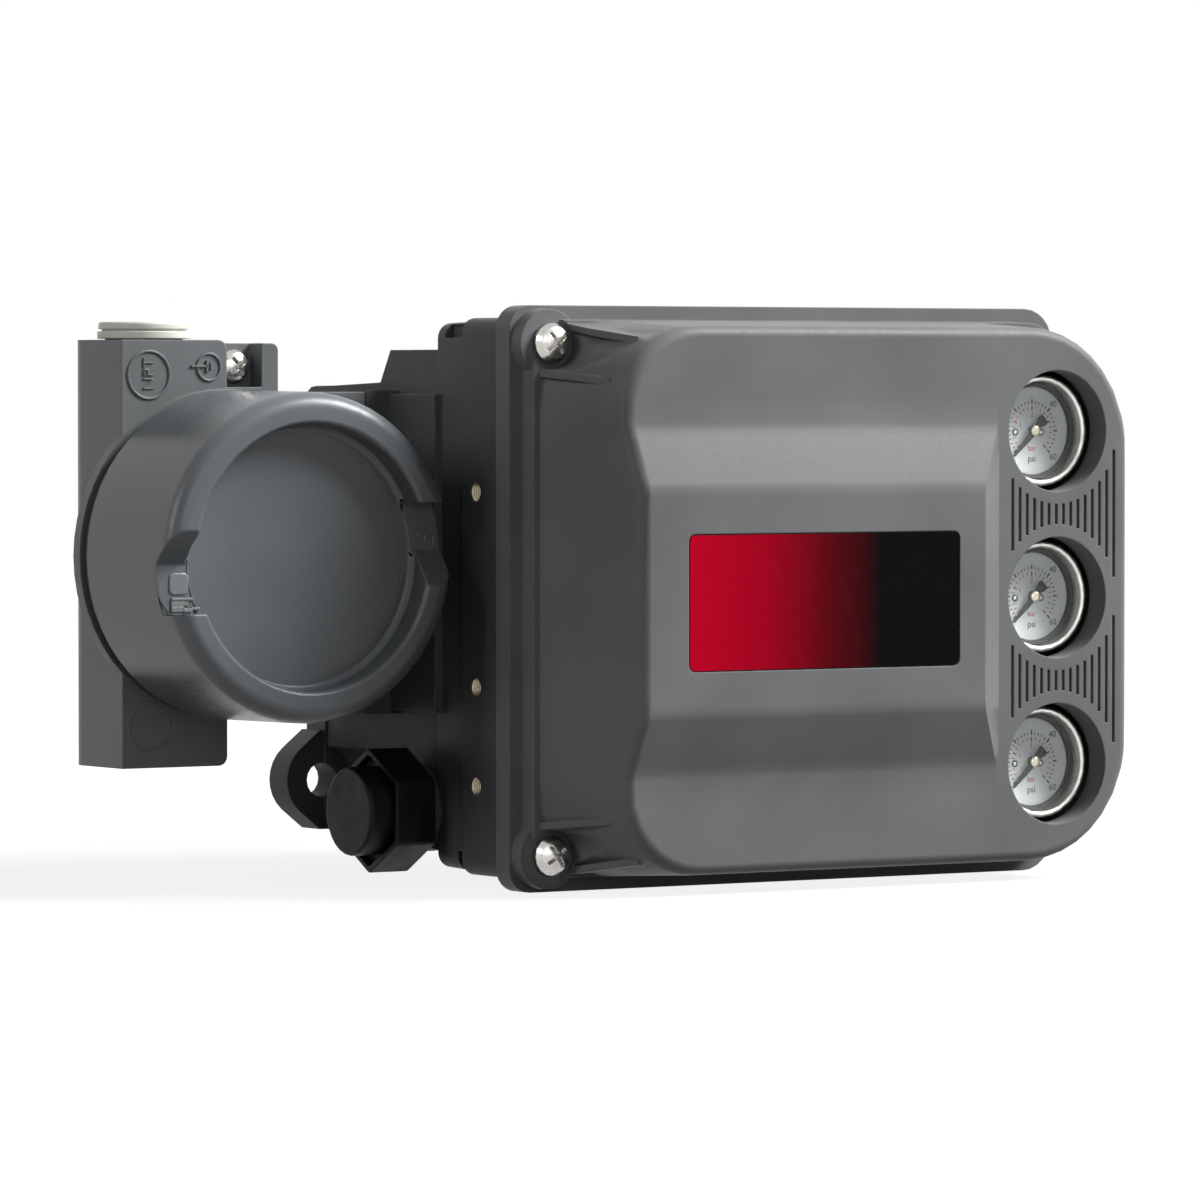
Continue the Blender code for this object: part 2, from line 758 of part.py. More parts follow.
def make_housing(material):
    """Aluminium housing with the front cavity, rear body, neck, ports and mounting ears."""
    half = housing_half_height
    back_y = rear_body_front_y
    step_y = housing_front_y + housing_step_depth
    loops = []
    for y, inset in ((back_y, housing_back_inset), (step_y + housing_step_run, housing_step_inset),
                     (step_y, 0.0), (housing_front_y, 0.0)):
        outline = rounded_outline(housing_left_x + inset, housing_right_x - inset,
                                  -half + inset, half - inset, housing_corner_radius, housing_right_radius)
        loops.append([(x, y, z) for x, z in outline])
    housing = loft("housing", loops)
    side = [(back_y - over, rear_body_bottom), (-mount_plate_thickness, mount_plate_bottom),
            (-bite, mount_plate_bottom), (-bite, mount_plate_top), (-rear_shoulder_depth, rear_shoulder_top),
            (-rear_shoulder_depth - rear_shoulder_run, rear_body_top), (back_y - over, rear_body_top)]
    add(housing, side_slab("rear_body", side, rear_body_left_x, rear_body_right_x))
    plate = rounded_outline(rear_body_left_x - plate_side_rise, rear_body_right_x + plate_side_rise,
                            mount_plate_bottom - plate_end_rise, mount_plate_top + plate_end_rise,
                            plate_corner_radius, plate_corner_radius, 3)
    add(housing, slab("mount_plate", plate, 0.0, -mount_plate_thickness))
    ear_places = [(rear_body_left_x - ear_offset, -1), (rear_body_right_x + ear_offset, 1)]
    ear_low = ear_z - ear_root_height / 2
    ear_high = ear_z + ear_root_height / 2
    for index, (x, way) in enumerate(ear_places):
        root = x - way * ear_root_reach
        shoulder = x + way * ear_shoulder
        outline = [(root, ear_low), (root, ear_high), (shoulder, ear_high)]
        outline += [(x + way * px, ear_z + pz) for px, pz in arc(0, 0, ear_radius, ear_half_angle, -ear_half_angle, 8)]
        outline.append((shoulder, ear_low))
        add(housing, slab(f"ear_{index}", outline, 0.0, gap - mount_plate_thickness))
    add(housing, box("neck", (neck_left_x, neck_front_y, neck_bottom),
                     (rear_body_left_x + 2 * over, neck_back_y, neck_top)))
    add(housing, box("neck_boss", (rear_body_left_x - neck_boss_rise, back_y - over, neck_bottom + bite),
                     (rear_body_left_x + over, neck_boss_back_y, neck_top - bite)))
    add(housing, box("port_block", (rear_body_right_x - 2 * over, back_y - over, -port_block_half_height),
                     (housing_right_x - port_block_inset, back_y + port_block_depth, port_block_half_height)))
    port_y = back_y + port_set_back
    for index in (-1, 0, 1):
        root = Vector((housing_right_x - port_boss_root, port_y, index * port_pitch))
        add(housing, rod(f"port_boss_{index}", root, right, port_boss_root + port_boss_rise, port_boss_radius))
    add(housing, rod("vent_boss", Vector((rear_body_left_x + 2 * over, vent_y, vent_z)), left,
                     2 * over + vent_seat_rise(), vent_boss_radius))
    cavity = rounded_outline(housing_left_x + housing_wall, housing_right_x - housing_wall,
                             -half + housing_wall, half - housing_wall, cavity_corner_radius, cavity_corner_radius, 5)
    cut(housing, slab("cavity", cavity, back_y - housing_floor, housing_front_y - over))
    w = sensor_bay_width / 2
    cut(housing, box("sensor_bay", (sensor_bay_x - w, -sensor_bay_depth, -sensor_bay_height / 2),
                     (sensor_bay_x + w, over, sensor_bay_height / 2)))
    c = sensor_channel_width / 2
    cut(housing, box("sensor_channel", (sensor_bay_x - c, -sensor_channel_depth, rear_body_bottom - 2 * over),
                     (sensor_bay_x + c, over, rear_body_top + 2 * over)))
    cut(housing, seal_ring("seal_groove", gap, housing_front_y + seal_groove_depth, housing_front_y - bite))
    for index, centre in enumerate(locating_pin_places()):
        cut(housing, rod(f"pin_hole_{index}", centre + front * bite, back, locating_pin_length + over,
                         locating_pin_diameter / 2 + gap, small_steps))
    for index, (x, way) in enumerate(ear_places):
        cut(housing, rod(f"ear_hole_{index}", Vector((x, over, ear_z)), front,
                         mount_plate_thickness + 2 * over, ear_hole_diameter / 2, small_steps))
        cut(housing, rod(f"bolt_relief_{index}", Vector((x, -mount_plate_thickness, ear_z)), front,
                         bolt_relief_depth, bolt_relief_radius))
        cut(housing, rod(f"upper_tap_{index}", Vector((way * upper_tap_x, over, upper_tap_z)), front,
                         upper_tap_depth + over, upper_tap_diameter / 2, small_steps))
    for index in (-1, 0, 1):
        cut(housing, rod(f"port_{index}", Vector((housing_right_x + 2 * over, port_y, index * port_pitch)),
                         left, port_depth + 2 * over, port_diameter / 2))
    for index, level in enumerate(side_hole_levels):
        cut(housing, rod(f"side_hole_{index}", Vector((housing_left_x - over, side_hole_y, level)),
                         right, side_hole_depth + over, side_hole_diameter / 2, small_steps))
    for index, (x, z) in enumerate(cover_screw_places()):
        cut(housing, rod(f"cover_screw_tap_{index}", Vector((x, housing_front_y - over, z)), back,
                         cover_tap_depth + over, cover_screw_diameter / 2 + gap, small_steps))
    cut(housing, rod("vent_bore", Vector((vent_hex_back_x() - over, vent_y, vent_z)), right,
                     vent_shank_length + over + bite, vent_shank_diameter / 2 + gap))
    cut(housing, box("corner_notch", (housing_left_x - over, step_y + corner_notch_set_back, half - corner_notch_low),
                     (housing_left_x + corner_notch_depth, step_y + corner_notch_set_back + corner_notch_length,
                      half - corner_notch_high)))
    cut(housing, box("drain_slot", (housing_left_x - over, step_y, -half - over),
                     (housing_left_x + drain_slot_depth, step_y + drain_slot_width, -half + drain_slot_length)))
    return dress(housing, material)


def vent_hex_back_x():
    """Rear face of the vent's hexagon."""
    return vent_hex_front_x + vent_hex_thickness


def vent_seat_rise():
    """How far the vent's boss stands out of the rear body."""
    return rear_body_left_x - vent_hex_back_x() - gap


def hexagon(across, corner_radius):
    """Points of a hexagon with rounded corners, one of them up, about the vent's axis."""
    reach = (across / 2 - corner_radius) / math.cos(math.radians(30))
    points = []
    for turn in range(90, 450, 60):
        y = vent_y + reach * math.cos(math.radians(turn))
        z = vent_z + reach * math.sin(math.radians(turn))
        points += arc(y, z, corner_radius, turn - 30, turn + 30, 3)
    return points


def make_vent(material):
    """Moulded vent: threaded shank, hollow-faced hexagon and a round baffle cap."""
    seat = vent_hex_back_x()
    floor_x = vent_hex_front_x + vent_well_depth
    body = side_slab("vent_body", hexagon(vent_hex_across, vent_corner_radius), vent_hex_front_x, seat)
    inside = hexagon(vent_hex_across - 2 * vent_well_wall, vent_corner_radius)
    cut(body, side_slab("vent_well", inside, vent_hex_front_x - bite, floor_x))
    add(body, rod("vent_shank", Vector((seat - bite, vent_y, vent_z)), right,
                  vent_shank_length + bite, vent_shank_diameter / 2))
    dress(body, material)
    radius = vent_cap_diameter / 2
    height = vent_cap_height + vent_well_depth - gap
    profile = [(0, height), (radius - vent_cap_round, height), (radius, height - vent_cap_round), (radius, 0), (0, 0)]
    cap = turned("vent_cap", profile, Vector((floor_x - gap, vent_y, vent_z)), left, medium_steps)
    dress(cap, material)


def terminal_outline(side_reach, half_height, right_x, steps=24):
    """Half oval on the left with a flat top and bottom towards the neck."""
    points = []
    for x, z in arc(0, 0, 1.0, 90, 270, steps):
        points.append((terminal_x + x * side_reach, terminal_z + z * half_height))
    points += [(right_x, terminal_z - half_height), (right_x, terminal_z + half_height)]
    return points


def make_terminal_box(material):
    """Terminal box casting with its round flange, the conduit column, the ground lug and the cap's threaded neck."""
    loops = []
    for set_back, side_reach, half_height in terminal_stations:
        outline = terminal_outline(side_reach, half_height, neck_left_x - gap)
        loops.append([(x, terminal_front_y + set_back, z) for x, z in outline])
    terminal = loft("terminal_box", loops[::-1])
    flange_back = Vector((terminal_x, terminal_front_y + terminal_flange_thickness, terminal_z))
    add(terminal, rod("terminal_flange", flange_back, front, terminal_flange_thickness, terminal_radius, large_steps))
    r = column_corner_radius
    outline = [(column_left_x, column_front_y), (column_right_x, column_front_y)]
    outline += arc(column_right_x - r, column_back_y - r, r, 0, 90, 4)
    outline += arc(column_left_x + r, column_back_y - r, r, 90, 180, 4)
    column = top_slab("conduit_column", outline, column_bottom, column_top)
    ends = rounded_outline(column_left_x - bite, column_right_x, column_bottom, column_top, bite, column_end_radius, 4)
    boolean(column, slab("column_ends", ends, column_back_y + over, column_front_y - over), "INTERSECT")
    add(terminal, column)
    lug_low = terminal_z + terminal_radius - lug_root
    lug_top = terminal_z + terminal_radius + lug_height
    lug_front = terminal_front_y + lug_set_back
    lug = rounded_outline(column_right_x - over, column_right_x + lug_width, lug_low, lug_top,
                          bite, lug_corner_radius, 3)
    add(terminal, slab("ground_lug", lug, lug_front + lug_depth, lug_front))
    cut(terminal, box("ground_pocket", (column_right_x, lug_front - over, terminal_z + terminal_radius + lug_floor),
                      (column_right_x + lug_pocket_width, lug_front + lug_pocket_depth, lug_top + over)))
    add(terminal, rod("cap_neck", Vector((terminal_x, terminal_front_y + bite, terminal_z)), front,
                      terminal_neck_length + bite, terminal_neck_radius, large_steps))
    circle = arc(0, 0, 1.0, 0, 360, large_steps)[:-1]
    loops = []
    for y, width, height in ((terminal_back_y - terminal_floor, cavity_back_width, cavity_back_height),
                             (terminal_front_y + cavity_turn, terminal_cavity_radius, terminal_cavity_radius),
                             (terminal_front_y - terminal_neck_length - over, terminal_cavity_radius,
                              terminal_cavity_radius)):
        loops.append([(terminal_x + width * x, y, terminal_z + height * z) for x, z in circle])
    cut(terminal, loft("terminal_cavity", loops))
    cut(terminal, rod("upper_entry", Vector((entry_x, entry_y, column_top + over)), -up,
                      column_top + over - terminal_z - entry_reach, conduit_bore / 2))
    cut(terminal, rod("lower_entry", Vector((entry_x, entry_y, column_bottom - over)), up,
                      terminal_z - entry_reach - column_bottom + over, conduit_bore / 2))
    cut(terminal, rod("ground_tap", ground_screw_place() + front * bite, back, ground_shank_length + 2 * bite,
                      ground_shank_diameter / 2 + gap, small_steps))
    return dress(terminal, material)


def ground_screw_place():
    """Seat of the outer ground screw in the lug's pocket."""
    x = column_right_x + lug_pocket_width / 2
    y = terminal_front_y + lug_set_back + lug_pocket_depth
    z = terminal_z + terminal_radius + lug_floor + lug_pocket_width / 2
    return Vector((x, y, z))


def pan_screw(name, seat, direction, head_diameter, head_height, shank_diameter, shank_length, material):
    """Pan head screw, seat point under the head, pointing out along a direction."""
    head = head_diameter / 2
    shank = shank_diameter / 2
    profile = [(0, head_height)] + [(head * across, head_height * high) for across, high in pan_head_shape]
    profile += [(head, 0), (shank, 0), (shank, -shank_length), (0, -shank_length)]
    item = turned(name, profile, seat + direction * gap, direction, small_steps)
    reach = head * recess_reach
    for index in range(2):
        cross = box(f"{name}_recess_{index}", (-reach, -recess_width / 2, head_height * recess_floor),
                    (reach, recess_width / 2, head_height + over))
        cross.matrix_world = item.matrix_world @ Matrix.Rotation(recess_turn + math.pi / 2 * index, 4, "Z")
        cut(item, cross)
    return dress(item, material)


def make_cover_screws(material):
    """The two captive screws at the left corners of the cover."""
    for index, (x, z) in enumerate(cover_screw_places()):
        pan_screw(f"cover_screw_{index + 1}", Vector((x, cover_screw_seat_y, z)), front,
                  cover_screw_head_diameter, cover_screw_head_height, cover_screw_diameter,
                  cover_screw_length, material)


def make_terminal_cap(material, ring_material):
    """Screw cap with a recessed disc, a rim with two tool notches and an O-ring behind it."""
    length = cap_back_y - cap_front_y
    thread = terminal_neck_radius + cap_thread_clearance
    thread_end = terminal_front_y - terminal_neck_length - bite - cap_front_y
    disc = cap_recess_depth + cap_disc_thickness
    bore = terminal_cavity_radius
    lip = cap_lip_radius
    shoulder = cap_shoulder_radius
    profile = [(0, -cap_recess_depth), (lip - cap_lip_round, -cap_recess_depth)]
    profile.append((lip, -cap_recess_depth + cap_lip_round))
    profile += arc(lip + cap_lip_round, -cap_lip_round, cap_lip_round, 180, 90, 3)
    profile += arc(cap_front_radius - shoulder, -shoulder, shoulder, 90, 0, 6)
    profile += [(cap_back_radius, -length), (thread, -length), (thread, -thread_end),
                (bore, -thread_end), (bore, -disc), (0, -disc)]
    centre = Vector((terminal_x, cap_front_y, terminal_z))
    cap = turned("terminal_cap", profile, centre, front, large_steps)
    near = math.sqrt(lip ** 2 - cap_notch_steep ** 2) - bite
    far = cap_back_radius + over
    for index, way in enumerate((-1, 1)):
        outline = [(cap_front_y - bite, cap_notch_steep), (cap_front_y + cap_notch_depth, cap_notch_steep),
                   (cap_front_y + cap_notch_depth, cap_notch_ramp_foot), (cap_front_y - bite, cap_notch_ramp_head)]
        outline = [(y, terminal_z - way * z) for y, z in outline]
        ends = sorted((terminal_x + way * near, terminal_x + way * far))
        cut(cap, side_slab(f"cap_notch_{index}", outline, *ends))
    dress(cap, material)
    depth = terminal_front_y - cap_back_y - 2 * gap
    low = terminal_neck_radius + gap
    high = low + cap_ring_thickness
    edge = cap_ring_edge
    ring = turned("cap_seal_ring", [(low, 0), (low, depth), (high - edge, depth), (high, depth - edge),
                                    (high, edge), (high - edge, 0)],
                  Vector((terminal_x, terminal_front_y - gap, terminal_z)), front, large_steps)
    dress(ring, ring_material)


def make_terminal_board(plastic, metal):
    """Terminal strip on the terminal box floor, with its wire screws."""
    floor_y = terminal_back_y - terminal_floor
    top_y = floor_y - strip_depth
    block = box("terminal_board", (terminal_x - strip_width / 2, top_y, terminal_z - strip_height / 2),
                (terminal_x + strip_width / 2, floor_y - gap, terminal_z + strip_height / 2))
    soften(block, strip_round)
    for index, offset in enumerate(strip_screw_offsets):
        seat = Vector((terminal_x + offset, top_y + strip_well_depth, terminal_z))
        cut(block, rod(f"terminal_well_{index}", seat, front, strip_well_depth + over, strip_well_radius, small_steps))
        cut(block, rod(f"terminal_tap_{index}", seat + front * bite, back, strip_screw_length + over,
                       strip_screw_diameter / 2 + gap, small_steps))
        pan_screw(f"terminal_screw_{index + 1}", seat, front, strip_head_diameter, strip_head_height,
                  strip_screw_diameter, strip_screw_length, metal)
    dress(block, plastic)


def make_conduit_plug(material):
    """Pale dust plug in the upper conduit entry, with a grooved flange."""
    flange = plug_flange_diameter / 2
    stem = conduit_bore / 2 - gap
    inside = stem - plug_wall
    base = plug_flange_thickness
    rim = base + plug_groove
    top = rim + plug_flange_thickness
    profile = [(0, top), (flange - plug_edge, top), (flange, top - plug_edge), (flange, rim),
               (flange - plug_groove_depth, rim), (flange - plug_groove_depth, base), (flange + plug_lip, base),
               (flange + plug_lip, 0), (stem, 0), (stem - plug_taper, -plug_stem_length),
               (inside, -plug_stem_length), (inside, 0), (0, 0)]
    plug = turned("conduit_plug", profile, Vector((entry_x, entry_y, column_top + gap)), up, medium_steps)
    dress(plug, material)


def make_gauges(steel, white, black, glass):
    """Three pressure gauges: case with bezel and stem, dial, pointer and lens."""
    radius = bezel_diameter / 2
    bore = radius - bezel_wall
    shell = radius - gauge_case_inset
    stem = gauge_stem_diameter / 2
    stem_end = bezel_front_y - base_front_y + gap
    well = dial_recess + dial_thickness + gap
    for index, level in enumerate(gauge_levels):
        number = index + 1
        centre = Vector((gauge_x, bezel_front_y, level))
        profile = [(0, -well), (bore, -well), (bore, -bezel_edge), (bore + bezel_edge, 0), (radius - bezel_edge, 0),
                   (radius, -bezel_edge), (radius, -bezel_length), (shell, -bezel_length - bezel_edge),
                   (shell, -gauge_case_depth), (stem, -gauge_case_depth), (stem, stem_end), (0, stem_end)]
        dress(turned(f"gauge_case_{number}", profile, centre, front, medium_steps), steel)
        dial_y = bezel_front_y + dial_recess
        dress(rod(f"gauge_dial_{number}", Vector((gauge_x, dial_y, level)), back, dial_thickness,
                  dial_diameter / 2), white)
        dress(rod(f"gauge_lens_{number}", Vector((gauge_x, bezel_front_y + lens_recess, level)), back,
                  lens_thickness, bore - gap), glass)
        make_pointer(f"gauge_pointer_{number}", Vector((gauge_x, dial_y - gap - pointer_hub_foot, level)), black)


def make_pointer(name, centre, material):
    """Pointer with a tapered tip, a wide tail and a round hub, on its turning axis."""
    mesh = bmesh.new()
    outline = [(-pointer_root, 0), (-pointer_tip, pointer_length), (pointer_tip, pointer_length), (pointer_root, 0),
               (pointer_tail_half, -pointer_tail), (-pointer_tail_half, -pointer_tail)]
    verts = [mesh.verts.new((x, 0, z)) for x, z in outline]
    face = mesh.faces.new(verts)
    result = bmesh.ops.extrude_face_region(mesh, geom=[face])
    moved = [v for v in result["geom"] if isinstance(v, bmesh.types.BMVert)]
    bmesh.ops.translate(mesh, vec=(0, -pointer_thickness, 0), verts=moved)
    bmesh.ops.recalc_face_normals(mesh, faces=mesh.faces)
    item = from_bmesh(name, mesh)
    hub = rod(f"{name}_hub", Vector((0, pointer_hub_foot, 0)), front,
              pointer_thickness + pointer_hub_foot + pointer_hub_rise, pointer_hub_radius, small_steps)
    pose = Matrix.Translation(centre) @ Matrix.Rotation(pointer_rest_angle, 4, "Y")
    hub.matrix_world = pose @ hub.matrix_world
    item.matrix_world = pose
    add(item, hub)
    dress(item, material)


def make_working_parts(cast, gasket_material, dark, board_material, metal, knob):
    """Module base with its gasket and screws, wiring board, converter and relay."""
    base = box("module_base", (base_left_x, base_front_y, -base_half_height),
               (base_right_x, base_back_y, base_half_height))
    soften(base, module_round)
    floor_y = rear_body_front_y - housing_floor
    margin = gasket_margin
    gasket = rounded_outline(base_left_x + margin, base_right_x - margin, -base_half_height + margin,
                             base_half_height - margin, margin, margin, 3)
    dress(slab("module_gasket", gasket, floor_y - gap, base_back_y + gap), gasket_material)
    inset = base_screw_inset
    shank = socket_shank_diameter / 2
    head = socket_head_diameter / 2
    key_floor = socket_head_height - socket_key_depth
    for index, (x, way) in enumerate(((base_left_x + inset, 1), (base_left_x + inset, -1),
                                      (base_screw_right_x, 1), (base_screw_right_x, -1))):
        seat = Vector((x, base_front_y, way * (base_half_height - inset)))
        cut(base, rod(f"base_bore_{index}", seat + front * bite, back, socket_shank_length + over,
                      shank + gap, small_steps))
        profile = [(0, key_floor), (socket_key_radius, key_floor), (socket_key_radius, socket_head_height),
                   (head, socket_head_height), (head, 0), (shank, 0), (shank, -socket_shank_length),
                   (0, -socket_shank_length)]
        dress(turned(f"module_screw_{index + 1}", profile, seat + front * gap, front, small_steps), metal)
    dress(base, cast)
    plane = base_front_y - gap
    w, d, h = board_size
    board = box("wiring_board", (board_centre_x - w / 2, plane - d, -h / 2), (board_centre_x + w / 2, plane, h / 2))
    soften(board, module_round)
    dress(board, board_material)
    w, d, h = converter_size
    x, z = converter_centre
    converter = box("pressure_converter", (x - w / 2, plane - d, z - h / 2), (x + w / 2, plane, z + h / 2))
    soften(converter, converter_round, 3)
    dress(converter, dark)
    w, d, h = relay_size
    x, z = relay_centre
    relay = box("relay", (x - w / 2, plane - d, z - h / 2), (x + w / 2, plane, z + h / 2))
    soften(relay, module_round)
    disc_z = z - h / 4
    sunk = relay_disc_thickness / 2
    cut(relay, rod("relay_well", Vector((x, plane - d - over, disc_z)), back, over + sunk,
                   relay_disc_diameter / 2 + relay_disc_clearance))
    dress(relay, dark)
    foot_y = plane - d + sunk - gap
    face_y = foot_y - relay_disc_thickness
    disc = rod("relay_disc", Vector((x, foot_y, disc_z)), front, relay_disc_thickness, relay_disc_diameter / 2)
    cut(disc, box("relay_disc_slot", (x - relay_slot_reach, face_y - over, disc_z - relay_slot_width / 2),
                  (x + relay_slot_reach, face_y + relay_slot_depth, disc_z + relay_slot_width / 2)))
    dress(disc, knob)


def make_travel_sensor(material):
    """Travel sensor in the rear bay, with a channel for the magnet carrier."""
    w = sensor_bay_width / 2 - gap
    h = sensor_bay_height / 2 - gap
    c = sensor_channel_width / 2
    deep = -sensor_channel_depth
    bottom = -sensor_bay_depth + gap
    rear = -sensor_set_in
    outline = [(-w, bottom), (w, bottom), (w, rear), (c, rear), (c, deep), (-c, deep), (-c, rear), (-w, rear)]
    outline = [(sensor_bay_x + x, y) for x, y in outline]
    dress(top_slab("travel_sensor", outline, -h, h), material)


def make_label(material):
    """Thin printed plate in a shallow pocket of the raised panel."""
    outline = rounded_outline(label_left_x, label_right_x, label_bottom_z, label_top_z,
                              label_corner_radius, label_corner_radius, 3)
    floor_y = cover_panel_y + label_pocket_depth
    dress(slab("label_plate", outline, floor_y - gap, floor_y - gap - label_thickness), material)


def cut_label_pocket(cover):
    """Shallow pocket for the label plate in the raised panel."""
    r = label_corner_radius + gap
    outline = rounded_outline(label_left_x - gap, label_right_x + gap, label_bottom_z - gap, label_top_z + gap, r, r, 3)
    cut(cover, slab("label_pocket", outline, cover_panel_y + label_pocket_depth, cover_panel_y - over))


def build():
    """Makes the materials and all the sub-parts."""
    start_scene()
    cast_grey = finish("Grey painted casting", (0.155, 0.168, 0.168), 0.42)
    inner_cast = finish("Bare casting", (0.45, 0.45, 0.44), 0.5, 0.8)
    black_plastic = finish("Black plastic", (0.012, 0.012, 0.013), 0.45)
    black_rubber = finish("Black rubber", (0.008, 0.008, 0.008), 0.7)
    steel = finish("Stainless steel", (0.62, 0.60, 0.57), 0.25, 1.0)
    white = finish("White dial", (0.78, 0.79, 0.78), 0.5)
    black_paint = finish("Black paint", (0.01, 0.01, 0.01), 0.5)
    glass = finish("Gauge glass", (0.9, 0.92, 0.93), 0.05)
    pale_plastic = finish("Pale plastic", (0.58, 0.58, 0.50), 0.5)
    green_board = finish("Potted board", (0.02, 0.10, 0.06), 0.5)
    knob_yellow = finish("Yellow plastic", (0.60, 0.42, 0.03), 0.5)
    red_label = finish("Red label", (0.42, 0.0, 0.015), 0.4)
    make_housing(cast_grey)
    cover = make_front_cover(cast_grey)
    cut_label_pocket(cover)
    make_label(red_label)
    make_cover_seal(black_rubber)
    make_cover_screws(steel)
    make_vent(black_plastic)
    make_terminal_box(cast_grey)
    make_terminal_cap(cast_grey, black_rubber)
    make_terminal_board(black_plastic, steel)
    make_conduit_plug(pale_plastic)
    pan_screw("ground_screw", ground_screw_place(), front, ground_head_diameter, ground_head_height,
              ground_shank_diameter, ground_shank_length, steel)
    make_gauges(steel, white, black_paint, glass)
    make_working_parts(inner_cast, black_rubber, black_plastic, green_board, steel, knob_yellow)
    make_travel_sensor(black_plastic)


build()
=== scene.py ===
"""Valve positioner: its finishes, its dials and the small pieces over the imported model.

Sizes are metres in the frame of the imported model: +X right, the front towards -Y, +Z up.
"""
import math

import bmesh
import bpy
from mathutils import Matrix, Vector


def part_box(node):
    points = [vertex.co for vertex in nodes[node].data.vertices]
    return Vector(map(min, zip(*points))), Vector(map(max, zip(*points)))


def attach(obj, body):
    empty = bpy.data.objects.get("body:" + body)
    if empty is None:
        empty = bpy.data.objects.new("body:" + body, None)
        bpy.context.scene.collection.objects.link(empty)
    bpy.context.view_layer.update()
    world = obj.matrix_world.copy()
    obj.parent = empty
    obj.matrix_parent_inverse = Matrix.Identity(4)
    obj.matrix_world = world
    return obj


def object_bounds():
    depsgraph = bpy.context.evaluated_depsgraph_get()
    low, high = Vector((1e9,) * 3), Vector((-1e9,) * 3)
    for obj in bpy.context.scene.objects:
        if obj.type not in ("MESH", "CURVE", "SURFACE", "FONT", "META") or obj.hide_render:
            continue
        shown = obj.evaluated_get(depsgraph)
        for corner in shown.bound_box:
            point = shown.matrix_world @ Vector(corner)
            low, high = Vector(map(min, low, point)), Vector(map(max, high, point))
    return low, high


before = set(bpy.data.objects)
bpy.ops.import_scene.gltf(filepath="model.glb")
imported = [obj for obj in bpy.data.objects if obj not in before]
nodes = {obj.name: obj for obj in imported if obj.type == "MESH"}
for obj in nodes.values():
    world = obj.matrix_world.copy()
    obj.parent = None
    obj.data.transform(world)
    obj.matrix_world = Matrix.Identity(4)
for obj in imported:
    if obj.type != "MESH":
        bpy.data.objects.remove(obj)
cad_low, cad_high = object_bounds()
scene = bpy.context.scene
mm = 0.001

# The studio: a pale floor that the part stands on, a soft lamp high on the right with
# weaker ones round it, and a long lens at the place the part is seen from.
view_turn = math.radians(33.3)
view_drop = math.radians(1.7)
view_line = Vector((math.sin(view_turn) * math.cos(view_drop),
                    math.cos(view_turn) * math.cos(view_drop),
                    -math.sin(view_drop)))
camera_spot = (-1.0378, -1.6299, 0.0536)
lamp_aim = Vector((-0.01, -0.07, 0.0))
lens = bpy.data.cameras.new("camera")
lens.lens = 216.0
lens.sensor_width = 36.0
lens.clip_start = 0.05
camera = bpy.data.objects.new("camera", lens)
camera.location = camera_spot
camera.rotation_euler = view_line.to_track_quat("-Z", "Y").to_euler()
scene.collection.objects.link(camera)
scene.camera = camera
scene.view_settings.view_transform = "Standard"


def lamp(name, spot, width, height, power):
    """A rectangular lamp aimed at the middle of the part."""
    light = bpy.data.lights.new(name, "AREA")
    light.shape = "RECTANGLE"
    light.size = width
    light.size_y = height
    light.energy = power
    holder = bpy.data.objects.new(name, light)
    holder.location = spot
    aim = lamp_aim - Vector(spot)
    holder.rotation_euler = aim.to_track_quat("-Z", "Y").to_euler()
    scene.collection.objects.link(holder)


lamp("key_lamp", (1.34, -0.95, 1.42), 0.9, 0.9, 95.0)
lamp("left_lamp", (-2.0, 0.05, 0.85), 0.9, 0.7, 10.0)
lamp("front_lamp", (-0.7, -2.3, 0.6), 1.2, 0.8, 5.0)


class Flow:
    """What comes out of one socket of a node tree; sums on it add Math nodes."""

    def __init__(self, tree, socket):
        self.tree = tree
        self.socket = socket

    def maths(self, operation, first, second=0.0):
        """A Math node on two values or flows."""
        return add_node(self.tree, "Math", {0: first, 1: second}, operation=operation)

    def __add__(self, other):
        return self.maths("ADD", self, other)

    __radd__ = __add__

    def __mul__(self, other):
        return self.maths("MULTIPLY", self, other)

    __rmul__ = __mul__

    def most(self, other):
        """The larger of two flows at each place."""
        return self.maths("MAXIMUM", self, other)


def add_node(tree, kind, sockets=None, out=0, stops=(), **settings):
    """Any node: its settings and ramp stops, then the values or flows of its sockets."""
    made = tree.nodes.new("ShaderNode" + kind)
    for key, value in settings.items():
        setattr(made, key, value)
    for index, (place, colour) in enumerate(stops):
        if index > 1:
            made.color_ramp.elements.new(place)
        made.color_ramp.elements[index].position = place
        made.color_ramp.elements[index].color = colour
    for key, value in (sockets or {}).items():
        if isinstance(value, Flow):
            tree.links.new(value.socket, made.inputs[key])
        else:
            made.inputs[key].default_value = value
    return Flow(tree, made.outputs[out]) if made.outputs else None


def plain_sight(tree):
    """1 where the lens, a mirror or a glass looks at the surface, 0 for the light it gives."""
    seen = add_node(tree, "LightPath", out="Is Camera Ray")
    mirrored = add_node(tree, "LightPath", out="Is Glossy Ray")
    through = add_node(tree, "LightPath", out="Is Transmission Ray")
    return seen.most(mirrored).most(through)


sky = bpy.data.worlds.new("studio")
sky.use_nodes = True
sky.node_tree.nodes.clear()
scene.world = sky
dim = add_node(sky.node_tree, "Background", {"Color": (0.95, 0.98, 1.0, 1.0), "Strength": 0.04})
bright = add_node(sky.node_tree, "Background", {"Color": (1.0, 1.0, 1.0, 1.0), "Strength": 1.0})
sight = plain_sight(sky.node_tree)
shown = add_node(sky.node_tree, "MixShader", {0: sight, 1: dim, 2: bright})
add_node(sky.node_tree, "OutputWorld", {"Surface": shown})

